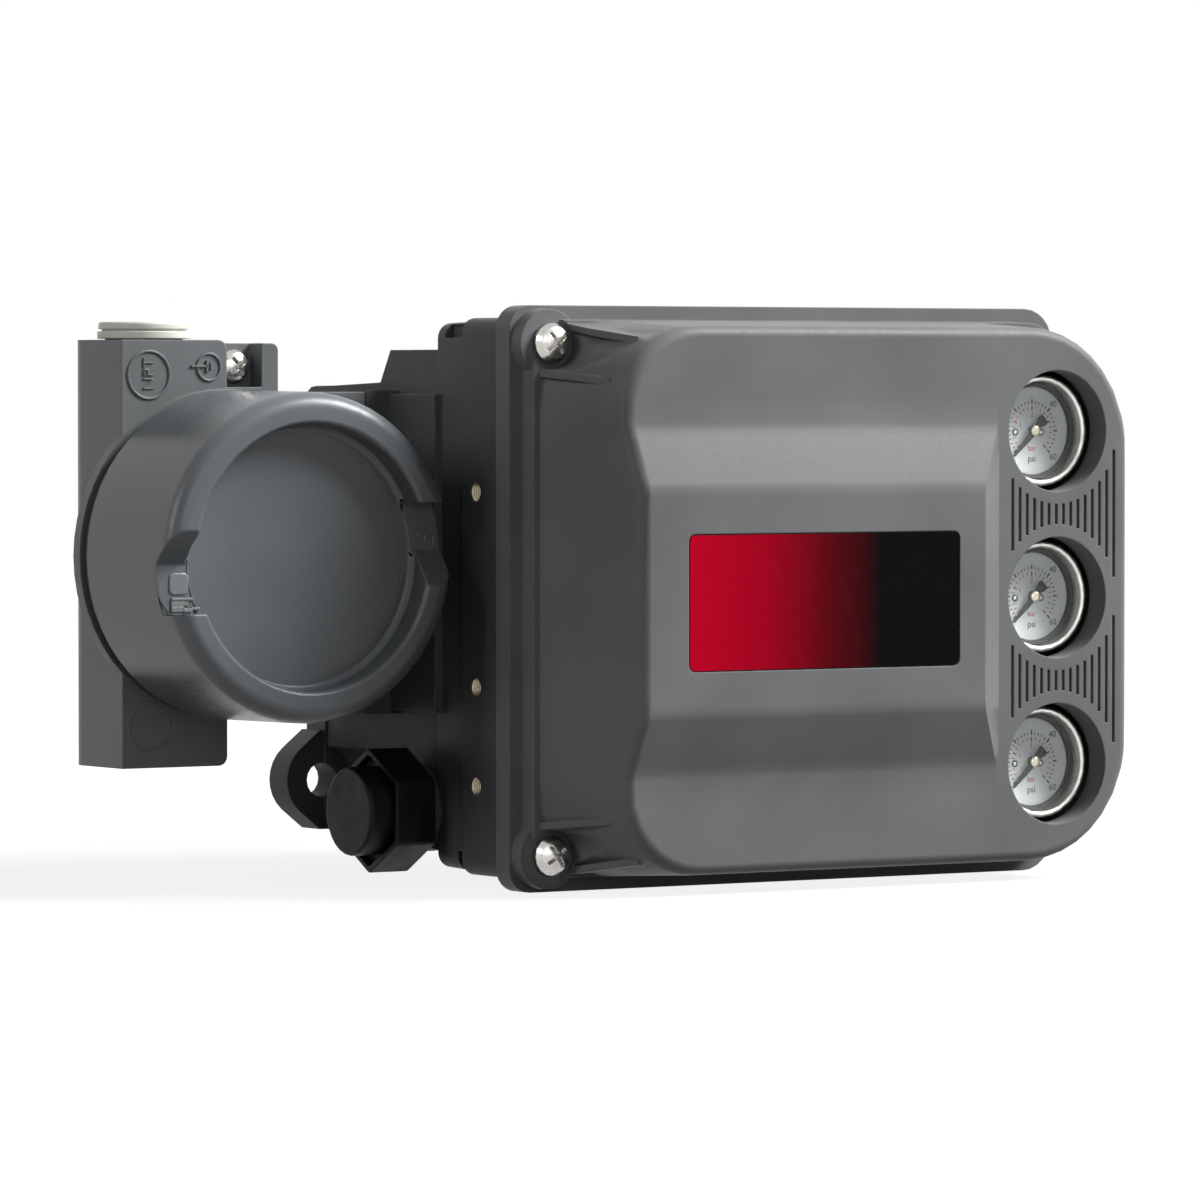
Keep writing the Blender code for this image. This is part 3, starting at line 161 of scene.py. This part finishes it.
floor_half_width = 6.0
shade_from = 0.15
shade_to = 0.55
shade_level = 0.86
floor_mesh = bmesh.new()
bmesh.ops.create_grid(floor_mesh, x_segments=1, y_segments=1, size=floor_half_width)
bmesh.ops.translate(floor_mesh, vec=(0.0, 0.0, cad_low.z), verts=floor_mesh.verts)
floor_data = bpy.data.meshes.new("floor")
floor_mesh.to_mesh(floor_data)
floor_mesh.free()
floor = bpy.data.objects.new("floor", floor_data)
scene.collection.objects.link(floor)
floor_paint = bpy.data.materials.new("floor_paint")
floor_paint.use_nodes = True
floor_paint.node_tree.nodes.clear()
floor_spot = add_node(floor_paint.node_tree, "TexCoord", out="Object")
floor_reach = add_node(floor_paint.node_tree, "VectorMath", {0: floor_spot}, operation="LENGTH", out="Value")
floor_fade = add_node(floor_paint.node_tree, "MapRange",
                      {0: floor_reach, 1: shade_from, 2: shade_to, 3: shade_level, 4: 1.0})
matt = add_node(floor_paint.node_tree, "BsdfDiffuse", {"Color": (0.12, 0.12, 0.12, 1.0)})
glow = add_node(floor_paint.node_tree, "Emission",
                {"Color": (1.0, 1.0, 1.0, 1.0), "Strength": plain_sight(floor_paint.node_tree) * floor_fade})
floor_look = add_node(floor_paint.node_tree, "AddShader", {0: matt, 1: glow})
add_node(floor_paint.node_tree, "OutputMaterial", {"Surface": floor_look})
floor_data.materials.append(floor_paint)

# The housing: die-cast aluminium under a semi-gloss grey paint with a fine orange-peel
# skin. The rear body, neck, ears and air ports are one casting; its tapped holes are bare.


class Finish:
    """A material with one Principled shader that its flows feed."""

    def __init__(self, name, colour, roughness, metallic=0.0, **constants):
        self.material = bpy.data.materials.new(name)
        self.material.use_nodes = True
        self.tree = self.material.node_tree
        self.shader = self.tree.nodes["Principled BSDF"]
        self.shader.inputs["Base Color"].default_value = (*colour, 1.0)
        self.shader.inputs["Roughness"].default_value = roughness
        self.shader.inputs["Metallic"].default_value = metallic
        for key, value in constants.items():
            self.shader.inputs[key.replace("_", " ")].default_value = value
        self.place = self.node("TexCoord", out="Object")

    def node(self, kind, sockets=None, **settings):
        """Any node in this material."""
        return add_node(self.tree, kind, sockets, **settings)

    def feed(self, socket, flow):
        """Links a flow to the shader."""
        self.tree.links.new(flow.socket, self.shader.inputs[socket])

    def noise(self, size, detail=2.0):
        """Noise whose lumps are about one size across, in metres."""
        return self.node("TexNoise", {"Vector": self.place, "Scale": 1.0 / size, "Detail": detail})

    def blend(self, factor, first, second):
        """A mix of two colours, each plain or flowing."""
        made = self.node("Mix", {0: factor}, data_type="RGBA", out=2)
        for index, colour in ((6, first), (7, second)):
            socket = made.socket.node.inputs[index]
            if isinstance(colour, Flow):
                self.tree.links.new(colour.socket, socket)
            else:
                socket.default_value = (*colour, 1.0)
        return made

    def span(self, flow, low, high, to_low=0.0, to_high=1.0):
        """A flow stretched from one range to another and held inside it."""
        return self.node("MapRange", {0: flow, 1: low, 2: high, 3: to_low, 4: to_high})

    def rounded(self, radius):
        """The surface's direction with its edges rounded off."""
        return self.node("Bevel", {"Radius": radius}, samples=4)

    def edges(self, radius):
        """1 near a sharp edge of the piece, 0 on its flats."""
        true = self.node("NewGeometry", out="True Normal")
        turned_by = self.node("VectorMath", {0: self.rounded(radius), 1: true}, operation="DOT_PRODUCT", out=1)
        return self.span(turned_by, 0.995, 0.9)

    def bump(self, height, depth, strength=1.0, edge=None):
        """Feeds the shader's direction with small relief over rounded edges."""
        sockets = {"Height": height, "Distance": depth, "Strength": strength}
        if edge:
            sockets["Normal"] = self.rounded(edge)
        self.feed("Normal", self.node("Bump", sockets))


def casting_paint(name, colour, rubbed, gloss=0.3, dullness=0.45):
    """Grey paint on a casting: orange peel, faint blotches, and rubbed edges."""
    paint = Finish(name, colour, dullness, Specular_IOR_Level=gloss)
    peel = paint.noise(1.3 * mm, 2.0)
    grain = paint.noise(0.35 * mm, 1.0)
    blotch = paint.noise(38.0 * mm, 3.0)
    wear = paint.edges(0.7 * mm) * paint.span(paint.noise(9.0 * mm, 4.0), 0.42, 0.62)
    shade = paint.blend(paint.span(blotch, 0.35, 0.65), tuple(c * 0.9 for c in colour),
                        tuple(c * 1.08 for c in colour))
    paint.feed("Base Color", paint.blend(wear * 0.45, shade, rubbed))
    paint.feed("Roughness", paint.span(peel * 0.5 + blotch * 0.5, 0.35, 0.65, dullness - 0.05, dullness + 0.09))
    paint.bump(peel * 0.75 + grain * 0.25, 0.04 * mm, 0.45, edge=0.5 * mm)
    return paint


def coat(finish, *names, edge=0.0):
    """Gives CAD nodes a finish, smooth curves and, where asked, rounded edges."""
    for name in names:
        item = nodes[name]
        item.data.materials.clear()
        item.data.materials.append(finish.material)
        item.data.shade_smooth()
        weld = item.modifiers.new("joined_facets", "WELD")
        weld.merge_threshold = 0.02 * mm
        flats = item.modifiers.new("whole_flats", "DECIMATE")
        flats.decimate_type = "DISSOLVE"
        flats.angle_limit = math.radians(0.4)
        if edge:
            rounding = item.modifiers.new("rounded_edges", "BEVEL")
            rounding.width = edge
            rounding.segments = 3
            rounding.limit_method = "ANGLE"
            rounding.angle_limit = math.radians(32.0)
            rounding.use_clamp_overlap = False
        creases = item.modifiers.new("sharp_creases", "EDGE_SPLIT")
        creases.split_angle = math.radians(32.0)
        creases.use_edge_sharp = False
        shading = item.modifiers.new("even_shading", "WEIGHTED_NORMAL")
        shading.weight = 50


# Painted shade: this grey is set darker than the cover's and the box's, though the castings share one paint, so
# that the rear body, neck and ears look shaded.
housing_paint_darkened_as_shade = casting_paint("housing_paint_darkened_as_shade", (0.095, 0.1, 0.102), (0.22, 0.23, 0.23), gloss=0.1)
coat(housing_paint_darkened_as_shade, "housing")


def piece(name, mesh, finish, body, crease=35.0):
    """Turns a bmesh into a piece that rides on a body of the model."""
    data = bpy.data.meshes.new(name)
    bmesh.ops.recalc_face_normals(mesh, faces=mesh.faces)
    mesh.to_mesh(data)
    mesh.free()
    item = bpy.data.objects.new(name, data)
    scene.collection.objects.link(item)
    data.materials.append(finish.material)
    data.shade_smooth()
    data.set_sharp_from_angle(angle=math.radians(crease))
    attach(item, body)


def turn(mesh, profile, centre, axis, steps=64):
    """Adds a profile of (radius, height) points turned about an axis through a centre."""
    frame_of = Matrix.Translation(centre) @ axis.to_track_quat("Z", "Y").to_matrix().to_4x4()
    rings = []
    for radius, height in profile:
        if radius == 0.0:
            rings.append([mesh.verts.new(frame_of @ Vector((0.0, 0.0, height)))] * steps)
            continue
        ring = []
        for step in range(steps):
            angle = math.tau * step / steps
            spot = Vector((radius * math.cos(angle), radius * math.sin(angle), height))
            ring.append(mesh.verts.new(frame_of @ spot))
        rings.append(ring)
    for near, far in zip(rings, rings[1:]):
        for step in range(steps):
            after = (step + 1) % steps
            corners = []
            for vert in (near[step], near[after], far[after], far[step]):
                if vert not in corners:
                    corners.append(vert)
            mesh.faces.new(corners)
    return mesh


front = Vector((0.0, -1.0, 0.0))
left = Vector((-1.0, 0.0, 0.0))

bare_thread = Finish("bare_thread", (0.42, 0.36, 0.26), 0.38, 1.0)
bare_thread.feed("Roughness", bare_thread.span(bare_thread.noise(0.4 * mm), 0.3, 0.7, 0.3, 0.55))
bare_thread.bump(bare_thread.noise(0.25 * mm), 0.02 * mm)
thread_radius = 2.46 * mm
thread_pitch = 0.7 * mm
thread_depth = 0.35 * mm
thread_start = 0.5 * mm
thread_ridges = 5
thread_end = 4.3 * mm
side_x = -61.0 * mm
side_hole_y = -85.3 * mm
for index, level in enumerate((26.8 * mm, -23.0 * mm, -48.2 * mm)):
    ridges = []
    for ridge in range(thread_ridges):
        depth = thread_start + ridge * thread_pitch
        ridges += [(thread_radius, -depth), (thread_radius - thread_depth, -depth - thread_pitch / 2)]
    ridges += [(thread_radius, -thread_end), (0.0, -thread_end - 0.1 * mm)]
    thread = turn(bmesh.new(), ridges, Vector((side_x, side_hole_y, level)), left, 32)
    piece(f"housing_thread_{index + 1}", thread, bare_thread, "positioner")

# The terminal box: a second casting with a round mouth and a column for the conduit, in
# the same paint. Two cast rings, the upper with the letters of the thread type, and the
# earth mark beside the ground screw stand on the column's front.
box_paint = casting_paint("terminal_box_paint", (0.15, 0.158, 0.163), (0.3, 0.31, 0.31), gloss=0.28, dullness=0.38)
coat(box_paint, "terminal_box")

column_face_y = -46.0 * mm


def raised_ring(mesh, x, z, radius, width, rise):
    """A thin ring standing on the column's front face."""
    profile = [(radius - width / 2, -0.2 * mm), (radius - width / 2, rise * 0.7), (radius, rise),
               (radius + width / 2, rise * 0.7), (radius + width / 2, -0.2 * mm)]
    turn(mesh, profile, Vector((x, column_face_y, z)), front, 48)


def raised_bar(mesh, x, z, width, height, rise, face_y=column_face_y):
    """A thin bar standing on a face that looks to the front."""
    spot = Matrix.Translation((x, face_y - rise / 2 + 0.1 * mm, z))
    size = Matrix.Diagonal((width, rise + 0.2 * mm, height, 1.0))
    bmesh.ops.create_cube(mesh, size=1.0, matrix=spot @ size)


def lettering(mesh, words, size, relief, x, y, z, turned=0.0):
    """Adds figures or letters that face the front, turned in their own plane."""
    curve = bpy.data.curves.new("lettering", "FONT")
    curve.body = words
    curve.size = size
    curve.align_x = "CENTER"
    curve.align_y = "CENTER"
    curve.extrude = relief
    holder = bpy.data.objects.new("lettering", curve)
    scene.collection.objects.link(holder)
    bpy.context.view_layer.update()
    shape = bpy.data.meshes.new_from_object(holder.evaluated_get(bpy.context.evaluated_depsgraph_get()))
    facing = Matrix.Rotation(math.radians(90.0), 4, "X") @ Matrix.Rotation(turned, 4, "Z")
    shape.transform(Matrix.Translation((x, y, z)) @ facing)
    mesh.from_mesh(shape)
    bpy.data.meshes.remove(shape)
    bpy.data.objects.remove(holder)
    bpy.data.curves.remove(curve)


cast_rise = 0.4 * mm
upper_ring_x = -133.8 * mm
upper_ring_z = 56.5 * mm
lower_ring_x = -134.0 * mm
lower_ring_z = -32.5 * mm
thread_ring_radius = 6.0 * mm
earth_x = -116.3 * mm
earth_z = 58.5 * mm
earth_radius = 3.4 * mm
earth_bar_z = 58.7 * mm
earth_rise = 0.45 * mm
marks = bmesh.new()
raised_ring(marks, upper_ring_x, upper_ring_z, thread_ring_radius, 0.7 * mm, cast_rise)
raised_ring(marks, lower_ring_x, lower_ring_z, thread_ring_radius, 0.6 * mm, 0.25 * mm)
raised_ring(marks, earth_x, earth_z, earth_radius, 0.6 * mm, earth_rise)
raised_bar(marks, -119.2 * mm, earth_bar_z, 4.6 * mm, 0.55 * mm, earth_rise)
raised_bar(marks, -116.9 * mm, earth_bar_z, 0.55 * mm, 3.0 * mm, earth_rise)
raised_bar(marks, -115.7 * mm, earth_bar_z, 0.5 * mm, 1.8 * mm, cast_rise)
lettering(marks, "NPT", 4.4 * mm, 0.3 * mm, upper_ring_x, column_face_y, 56.7 * mm, math.radians(90.0))
piece("terminal_box_cast_marks", marks, box_paint, "positioner")

# The dust plug: pale moulded plastic, pushed into the upper conduit entry until its
# flange rests on the column; it comes out before the conduit is screwed in.
plug_plastic = Finish("plug_plastic", (0.68, 0.685, 0.61), 0.42)
plug_tone = plug_plastic.span(plug_plastic.noise(6.0 * mm, 3.0), 0.3, 0.7)
plug_plastic.feed("Base Color", plug_plastic.blend(plug_tone, (0.62, 0.625, 0.55), (0.74, 0.745, 0.67)))
plug_plastic.feed("Roughness", plug_plastic.span(plug_tone, 0.0, 1.0, 0.36, 0.5))
plug_plastic.bump(plug_plastic.noise(0.5 * mm), 0.03 * mm, 0.5, edge=0.3 * mm)
coat(plug_plastic, "conduit_plug", edge=0.25 * mm)

# The ground screw and the two cover screws: stainless pan heads with a cross recess,
# pressed, thread-rolled and polished.


def steel(name, colour=(0.62, 0.6, 0.57), roughness=0.22):
    """Polished stainless steel with fine scratches."""
    metal = Finish(name, colour, roughness, 1.0)
    scratch = metal.noise(0.25 * mm, 4.0)
    smear = metal.noise(3.0 * mm, 3.0)
    metal.feed("Roughness", metal.span(smear * 0.6 + scratch * 0.4, 0.3, 0.7, roughness * 0.7, roughness * 1.5))
    metal.feed("Base Color", metal.blend(metal.span(smear, 0.35, 0.7), colour, tuple(c * 0.8 for c in colour)))
    metal.bump(scratch, 0.008 * mm, 0.5, edge=0.25 * mm)
    return metal


screw_steel = steel("screw_steel")
coat(screw_steel, "ground_screw", "cover_screw_1", "cover_screw_2", edge=0.12 * mm)

# The terminal box cap: a casting with a deep dished face and two spanner notches, painted
# and screwed onto the box. A cast pad and rough flash are left on the notches' floors.
cap_paint = casting_paint("terminal_cap_paint", (0.122, 0.133, 0.142), (0.46, 0.47, 0.47), gloss=0.36,
                          dullness=0.3)
coat(cap_paint, "terminal_cap", edge=0.35 * mm)

notch_floor_y = -83.4 * mm
pad_x = -146.8 * mm
pad_z = 4.7 * mm
pad_half = 2.7 * mm
pad_corner = 1.3 * mm
pad_corner_steps = 4
pad_levels = ((1.0, -0.1 * mm), (1.0, 0.2 * mm), (0.93, 0.32 * mm))
flash_bars = ((-145.8, 0.9, 6.2, 0.7, 0.45), (-146.6, -0.2, 4.8, 1.2, 0.3), (-147.2, -1.6, 3.6, 1.4, 0.4),
              (-144.3, -1.9, 2.4, 1.0, 0.5), (-142.0, -1.5, 2.2, 0.7, 0.4),
              (-77.3, 15.9, 0.5, 1.2, 0.4), (-75.2, 15.3, 0.6, 1.9, 0.4), (-72.6, 14.7, 0.5, 1.8, 0.4))
notch_marks = bmesh.new()
pad_outline = []
for side_x, side_z, quarter in ((1, 1, 0), (-1, 1, 1), (-1, -1, 2), (1, -1, 3)):
    for step in range(pad_corner_steps + 1):
        angle = math.tau / 4 * (quarter + step / pad_corner_steps)
        pad_outline.append((side_x * (pad_half - pad_corner) + pad_corner * math.cos(angle),
                            side_z * (pad_half - pad_corner) + pad_corner * math.sin(angle)))
pad_rings = []
for share, rise in pad_levels:
    pad_rings.append([notch_marks.verts.new((pad_x + across * share, notch_floor_y - rise, pad_z + upward * share))
                      for across, upward in pad_outline])
for lower, upper in zip(pad_rings, pad_rings[1:]):
    for step in range(len(lower)):
        after = (step + 1) % len(lower)
        notch_marks.faces.new((lower[step], lower[after], upper[after], upper[step]))
notch_marks.faces.new(pad_rings[0])
notch_marks.faces.new(pad_rings[-1])
for bar in flash_bars:
    raised_bar(notch_marks, *(size * mm for size in bar), notch_floor_y)
flash_paint = casting_paint("cap_flash_paint", (0.17, 0.18, 0.185), (0.46, 0.47, 0.47), gloss=0.5, dullness=0.25)
piece("terminal_cap_cast_marks", notch_marks, flash_paint, "cap", 20.0)

# The seals: black moulded rubber, as the ring behind the cap, the cord in the cover's rim
# and the gasket under the module base.


def rubber(name, colour=(0.009, 0.009, 0.009)):
    """Black moulded rubber with a dusty bloom."""
    skin = Finish(name, colour, 0.7)
    dust = skin.span(skin.noise(2.0 * mm, 4.0), 0.45, 0.75)
    skin.feed("Base Color", skin.blend(dust, colour, tuple(c * 2.6 for c in colour)))
    skin.feed("Roughness", skin.span(dust, 0.0, 1.0, 0.62, 0.82))
    skin.bump(skin.noise(0.3 * mm, 2.0), 0.02 * mm)
    return skin


seal_rubber = rubber("seal_rubber")
coat(seal_rubber, "cap_seal_ring", "cover_seal", "module_gasket")

# The vent: a black moulded hexagon with a round baffle cap, screwed into the boss on the
# left of the rear body.


def moulded(name, colour, roughness=0.5, grain=0.45):
    """Moulded plastic with a fine spark-eroded grain and a little dust."""
    skin = Finish(name, colour, roughness, Specular_IOR_Level=0.14)
    dust = skin.span(skin.noise(7.0 * mm, 4.0), 0.4, 0.8)
    skin.feed("Base Color", skin.blend(dust * 0.6, colour, tuple(c * 1.5 + 0.004 for c in colour)))
    skin.feed("Roughness", skin.span(dust, 0.0, 1.0, roughness - 0.07, roughness + 0.09))
    skin.bump(skin.noise(grain * mm, 2.0), 0.03 * mm, 0.6, edge=0.35 * mm)
    return skin


vent_plastic = moulded("vent_plastic", (0.004, 0.0038, 0.0038), 0.5)
coat(vent_plastic, "vent_body", "vent_cap", edge=0.45 * mm)

# The front cover: the large die-cast aluminium lid, machined at its rim and windows and
# then painted in the same grey, with less gloss.
cover_paint = casting_paint("front_cover_paint", (0.157, 0.161, 0.163), (0.26, 0.27, 0.27), gloss=0.14)
coat(cover_paint, "front_cover")

# The label plate: a thin printed plate glued into its recess, red running to black
# from left to right, without words.
label_low, label_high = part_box("label_plate")
label_print = Finish("label_print", (0.4, 0.0, 0.015), 0.45, Specular_IOR_Level=0.04)
along = label_print.node("SeparateXYZ", {0: label_print.place}, out=0)
fade = label_print.node("ValToRGB", {0: label_print.span(along, label_low.x, label_high.x)},
                        stops=[(0.0, (0.5, 0.0, 0.018, 1.0)), (0.28, (0.34, 0.0, 0.012, 1.0)),
                               (0.5, (0.1, 0.001, 0.005, 1.0)), (0.7, (0.001, 0.0006, 0.0008, 1.0))])
label_print.feed("Base Color", fade)
label_print.feed("Roughness", label_print.span(label_print.noise(3.0 * mm, 4.0), 0.3, 0.7, 0.36, 0.5))
label_print.bump(label_print.noise(0.4 * mm), 0.01 * mm, 0.4)
coat(label_print, "label_plate")

# The gauges: three steel cased pressure gauges, each with a rolled bezel, a riveted white
# dial with a black outer and a red inner scale, a black pointer on a brass hub with its
# stop pin, a black ring round the dial's edge and a clear lens.
gauge_steel = steel("gauge_steel", (0.88, 0.85, 0.8), 0.34)
dial_paint = Finish("dial_paint", (0.9, 0.93, 0.95), 0.4)
dial_paint.feed("Base Color", dial_paint.blend(dial_paint.span(dial_paint.noise(8.0 * mm, 3.0), 0.35, 0.7),
                                               (0.93, 0.97, 1.0), (0.88, 0.92, 0.96)))
dial_paint.feed("Roughness", dial_paint.span(dial_paint.noise(2.0 * mm), 0.3, 0.7, 0.35, 0.48))
dial_paint.bump(dial_paint.noise(0.3 * mm), 0.004 * mm)
dial_black = Finish("dial_black_print", (0.02, 0.02, 0.024), 0.5)
dial_black.feed("Roughness", dial_black.span(dial_black.noise(0.5 * mm), 0.3, 0.7, 0.4, 0.6))
dial_red = Finish("dial_red_print", (0.55, 0.03, 0.05), 0.5)
dial_red.feed("Roughness", dial_red.span(dial_red.noise(0.5 * mm), 0.3, 0.7, 0.4, 0.6))
pointer_paint = moulded("pointer_paint", (0.012, 0.012, 0.012), 0.4)
hub_brass = steel("hub_brass", (0.76, 0.7, 0.55), 0.28)
lens_glass = Finish("lens_glass", (0.85, 0.92, 0.9), 0.03, Alpha=0.07, IOR=1.5)
lens_glass.feed("Roughness", lens_glass.span(lens_glass.noise(4.0 * mm, 3.0), 0.3, 0.7, 0.02, 0.08))
lens_glass.material.surface_render_method = "BLENDED"

scale_start = math.radians(225.0)
scale_sweep = math.radians(-270.0)
ticks_between_long = 5
black_ticks = 30
black_tick_inner = 7.0 * mm
black_tick_outer = 7.7 * mm
black_long_outer = 8.2 * mm
black_tick_width = 0.24 * mm
red_ticks = 20
red_tick_outer = 6.4 * mm
red_tick_inner = 5.6 * mm
red_long_inner = 5.2 * mm
red_tick_width = 0.22 * mm
long_tick_width = 0.4 * mm
print_relief = 0.025 * mm
print_lift = 0.02 * mm
psi_step = 20
psi_figures = 4
psi_figure_size = 2.3 * mm
psi_figure_radius = 9.7 * mm
bar_figures = 4
bar_figure_size = 1.7 * mm
bar_figure_radius = 4.1 * mm
bar_word_size = 2.0 * mm
bar_word_drop = 4.6 * mm
psi_word_size = 2.4 * mm
psi_word_drop = 7.3 * mm
hub_profile = [(0.0, -0.1 * mm), (1.45 * mm, -0.1 * mm), (1.45 * mm, 0.2 * mm),
               (1.2 * mm, 0.45 * mm), (0.6 * mm, 0.6 * mm), (0.0, 0.65 * mm)]
dial_edge_ring_profile = [(11.4 * mm, 0.0), (11.4 * mm, 0.6 * mm), (11.6 * mm, 0.9 * mm),
                  (12.6 * mm, 0.9 * mm), (12.6 * mm, 0.0)]
stop_profile = [(0.0, -0.1 * mm), (0.35 * mm, -0.1 * mm), (0.35 * mm, 0.9 * mm), (0.0, 1.0 * mm)]
stop_offset = Vector((-5.1 * mm, 0.0, -6.3 * mm))
rivet_profile = [(0.0, -0.1 * mm), (0.55 * mm, -0.1 * mm), (0.55 * mm, 0.15 * mm),
                 (0.3 * mm, 0.35 * mm), (0.0, 0.4 * mm)]
rivet_rim_profile = [(0.55 * mm, 0.0), (0.55 * mm, 0.1 * mm), (0.95 * mm, 0.1 * mm), (0.95 * mm, 0.0)]
rivet_offsets = {"left": Vector((-5.4 * mm, 0.0, -0.4 * mm)), "right": Vector((2.9 * mm, 0.0, -0.4 * mm))}
blade_line = Vector((math.cos(scale_start), 0.0, math.sin(scale_start)))
blade_across = Vector((-blade_line.z, 0.0, blade_line.x))
blade_back = 0.5 * mm
blade_front = 0.32 * mm
blade_outline = ((0.8 * mm, 0.9 * mm), (4.0 * mm, 0.75 * mm), (8.6 * mm, 0.32 * mm), (9.5 * mm, 0.1 * mm))
tail_outline = ((-0.8 * mm, 0.8 * mm), (-2.2 * mm, 0.9 * mm), (-3.4 * mm, 1.5 * mm), (-4.6 * mm, 1.4 * mm))


def mark(mesh, x, z, y, angle, inner, outer, width, lift=0.05 * mm):
    """One printed stroke of a dial along a radius."""
    along_line = Vector((math.cos(angle), 0.0, math.sin(angle)))
    across = Vector((-along_line.z, 0.0, along_line.x)) * width / 2
    centre = Vector((x, y, z))
    corners = [centre + along_line * inner - across, centre + along_line * outer - across,
               centre + along_line * outer + across, centre + along_line * inner + across]
    near = [mesh.verts.new(corner) for corner in corners]
    far = [mesh.verts.new(corner + front * lift) for corner in corners]
    mesh.faces.new(near)
    mesh.faces.new(far[::-1])
    for index in range(4):
        after = (index + 1) % 4
        mesh.faces.new((near[index], near[after], far[after], far[index]))


def strip_along(mesh, outline, hub):
    """Adds a flat strip of the pointer from pairs of its reach and half width."""
    levels = []
    for depth in (blade_back, blade_front):
        level = []
        for reach, half in outline:
            spot = hub - front * depth + blade_line * reach
            level += [mesh.verts.new(spot - blade_across * half), mesh.verts.new(spot + blade_across * half)]
        levels.append(level)
    under, over = levels
    for step in range(0, len(under) - 2, 2):
        mesh.faces.new((over[step], over[step + 1], over[step + 3], over[step + 2]))
        mesh.faces.new((under[step], under[step + 2], under[step + 3], under[step + 1]))
        mesh.faces.new((under[step], over[step], over[step + 2], under[step + 2]))
        mesh.faces.new((under[step + 1], under[step + 3], over[step + 3], over[step + 1]))
    mesh.faces.new((under[0], under[1], over[1], over[0]))
    mesh.faces.new((under[-2], over[-2], over[-1], under[-1]))


for number, body in enumerate(("top", "middle", "bottom"), start=1):
    dial_low, dial_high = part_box(f"gauge_dial_{number}")
    x = (dial_low.x + dial_high.x) / 2
    z = (dial_low.z + dial_high.z) / 2
    y = dial_low.y
    dial_centre = Vector((x, y, z))
    hub_centre = Vector((x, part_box(f"gauge_pointer_{number}")[0].y, z))
    coat(dial_paint, f"gauge_dial_{number}")
    coat(gauge_steel, f"gauge_case_{number}", edge=0.15 * mm)
    coat(lens_glass, f"gauge_lens_{number}")
    coat(pointer_paint, f"gauge_pointer_{number}")

    black = bmesh.new()
    red = bmesh.new()
    for tick in range(black_ticks + 1):
        angle = scale_start + scale_sweep * tick / black_ticks
        if tick % ticks_between_long:
            mark(black, x, z, y, angle, black_tick_inner, black_tick_outer, black_tick_width)
        else:
            mark(black, x, z, y, angle, black_tick_inner, black_long_outer, long_tick_width)
    for tick in range(red_ticks + 1):
        angle = scale_start + scale_sweep * tick / red_ticks
        if tick % ticks_between_long:
            mark(red, x, z, y, angle, red_tick_inner, red_tick_outer, red_tick_width)
        else:
            mark(red, x, z, y, angle, red_long_inner, red_tick_outer, long_tick_width)
    for figure in range(psi_figures):
        angle = scale_start + scale_sweep * figure / (psi_figures - 1)
        lettering(black, str(figure * psi_step), psi_figure_size, print_relief,
                  x + psi_figure_radius * math.cos(angle), y - print_lift, z + psi_figure_radius * math.sin(angle))
    for figure in range(1, bar_figures):
        angle = scale_start + scale_sweep * figure / bar_figures
        lettering(red, str(figure), bar_figure_size, print_relief,
                  x + bar_figure_radius * math.cos(angle), y - print_lift, z + bar_figure_radius * math.sin(angle))
    lettering(red, "bar", bar_word_size, print_relief, x, y - print_lift, z - bar_word_drop)
    lettering(black, "psi", psi_word_size, print_relief, x, y - print_lift, z - psi_word_drop)
    piece(f"dial_print_black_{number}", black, dial_black, "positioner")
    piece(f"dial_print_red_{number}", red, dial_red, "positioner")

    hub = turn(bmesh.new(), hub_profile, hub_centre, front, 40)
    piece(f"pointer_hub_{number}", hub, hub_brass, f"pointer_{body}")
    blade = bmesh.new()
    strip_along(blade, blade_outline, hub_centre)
    strip_along(blade, tail_outline, hub_centre)
    piece(f"pointer_blade_{number}", blade, pointer_paint, f"pointer_{body}")

    # A thin black ring of the seal rubber, laid on the dial round its edge.
    gasket = turn(bmesh.new(), dial_edge_ring_profile, dial_centre, front, 64)
    piece(f"dial_edge_ring_{number}", gasket, seal_rubber, "positioner")
    stop = turn(bmesh.new(), stop_profile, dial_centre + stop_offset, front, 16)
    piece(f"pointer_stop_{number}", stop, gauge_steel, "positioner")
    for side, offset in rivet_offsets.items():
        rivet = turn(bmesh.new(), rivet_profile, dial_centre + offset, front, 24)
        piece(f"dial_rivet_{side}_{number}", rivet, gauge_steel, "positioner")
        rim = turn(bmesh.new(), rivet_rim_profile, dial_centre + offset, front, 24)
        piece(f"dial_rivet_rim_{side}_{number}", rim, dial_black, "positioner")

# The inner parts behind the cover and the cap: the module base and converter are bare
# castings, the relay, sensor and terminals are moulded, and the wiring board is potted.
module_plastic = moulded("module_plastic", (0.03, 0.031, 0.033), 0.5)
board_potting = moulded("board_potting", (0.02, 0.1, 0.06), 0.35)
relay_yellow = moulded("relay_yellow", (0.6, 0.42, 0.03), 0.42)
terminal_plastic = moulded("terminal_plastic", (0.05, 0.07, 0.055), 0.45)
base_casting = Finish("base_casting", (0.45, 0.45, 0.44), 0.42, 1.0)
base_casting.feed("Roughness", base_casting.span(base_casting.noise(2.0 * mm, 4.0), 0.3, 0.7, 0.35, 0.55))
base_casting.bump(base_casting.noise(0.5 * mm, 3.0), 0.03 * mm, 0.6, edge=0.4 * mm)
coat(base_casting, "module_base", "pressure_converter")
coat(module_plastic, "relay", "travel_sensor")
coat(board_potting, "wiring_board")
coat(relay_yellow, "relay_disc")
coat(terminal_plastic, "terminal_board")
coat(screw_steel, *[f"{kind}_screw_{n}" for kind in ("terminal", "module") for n in (1, 2, 3, 4)])
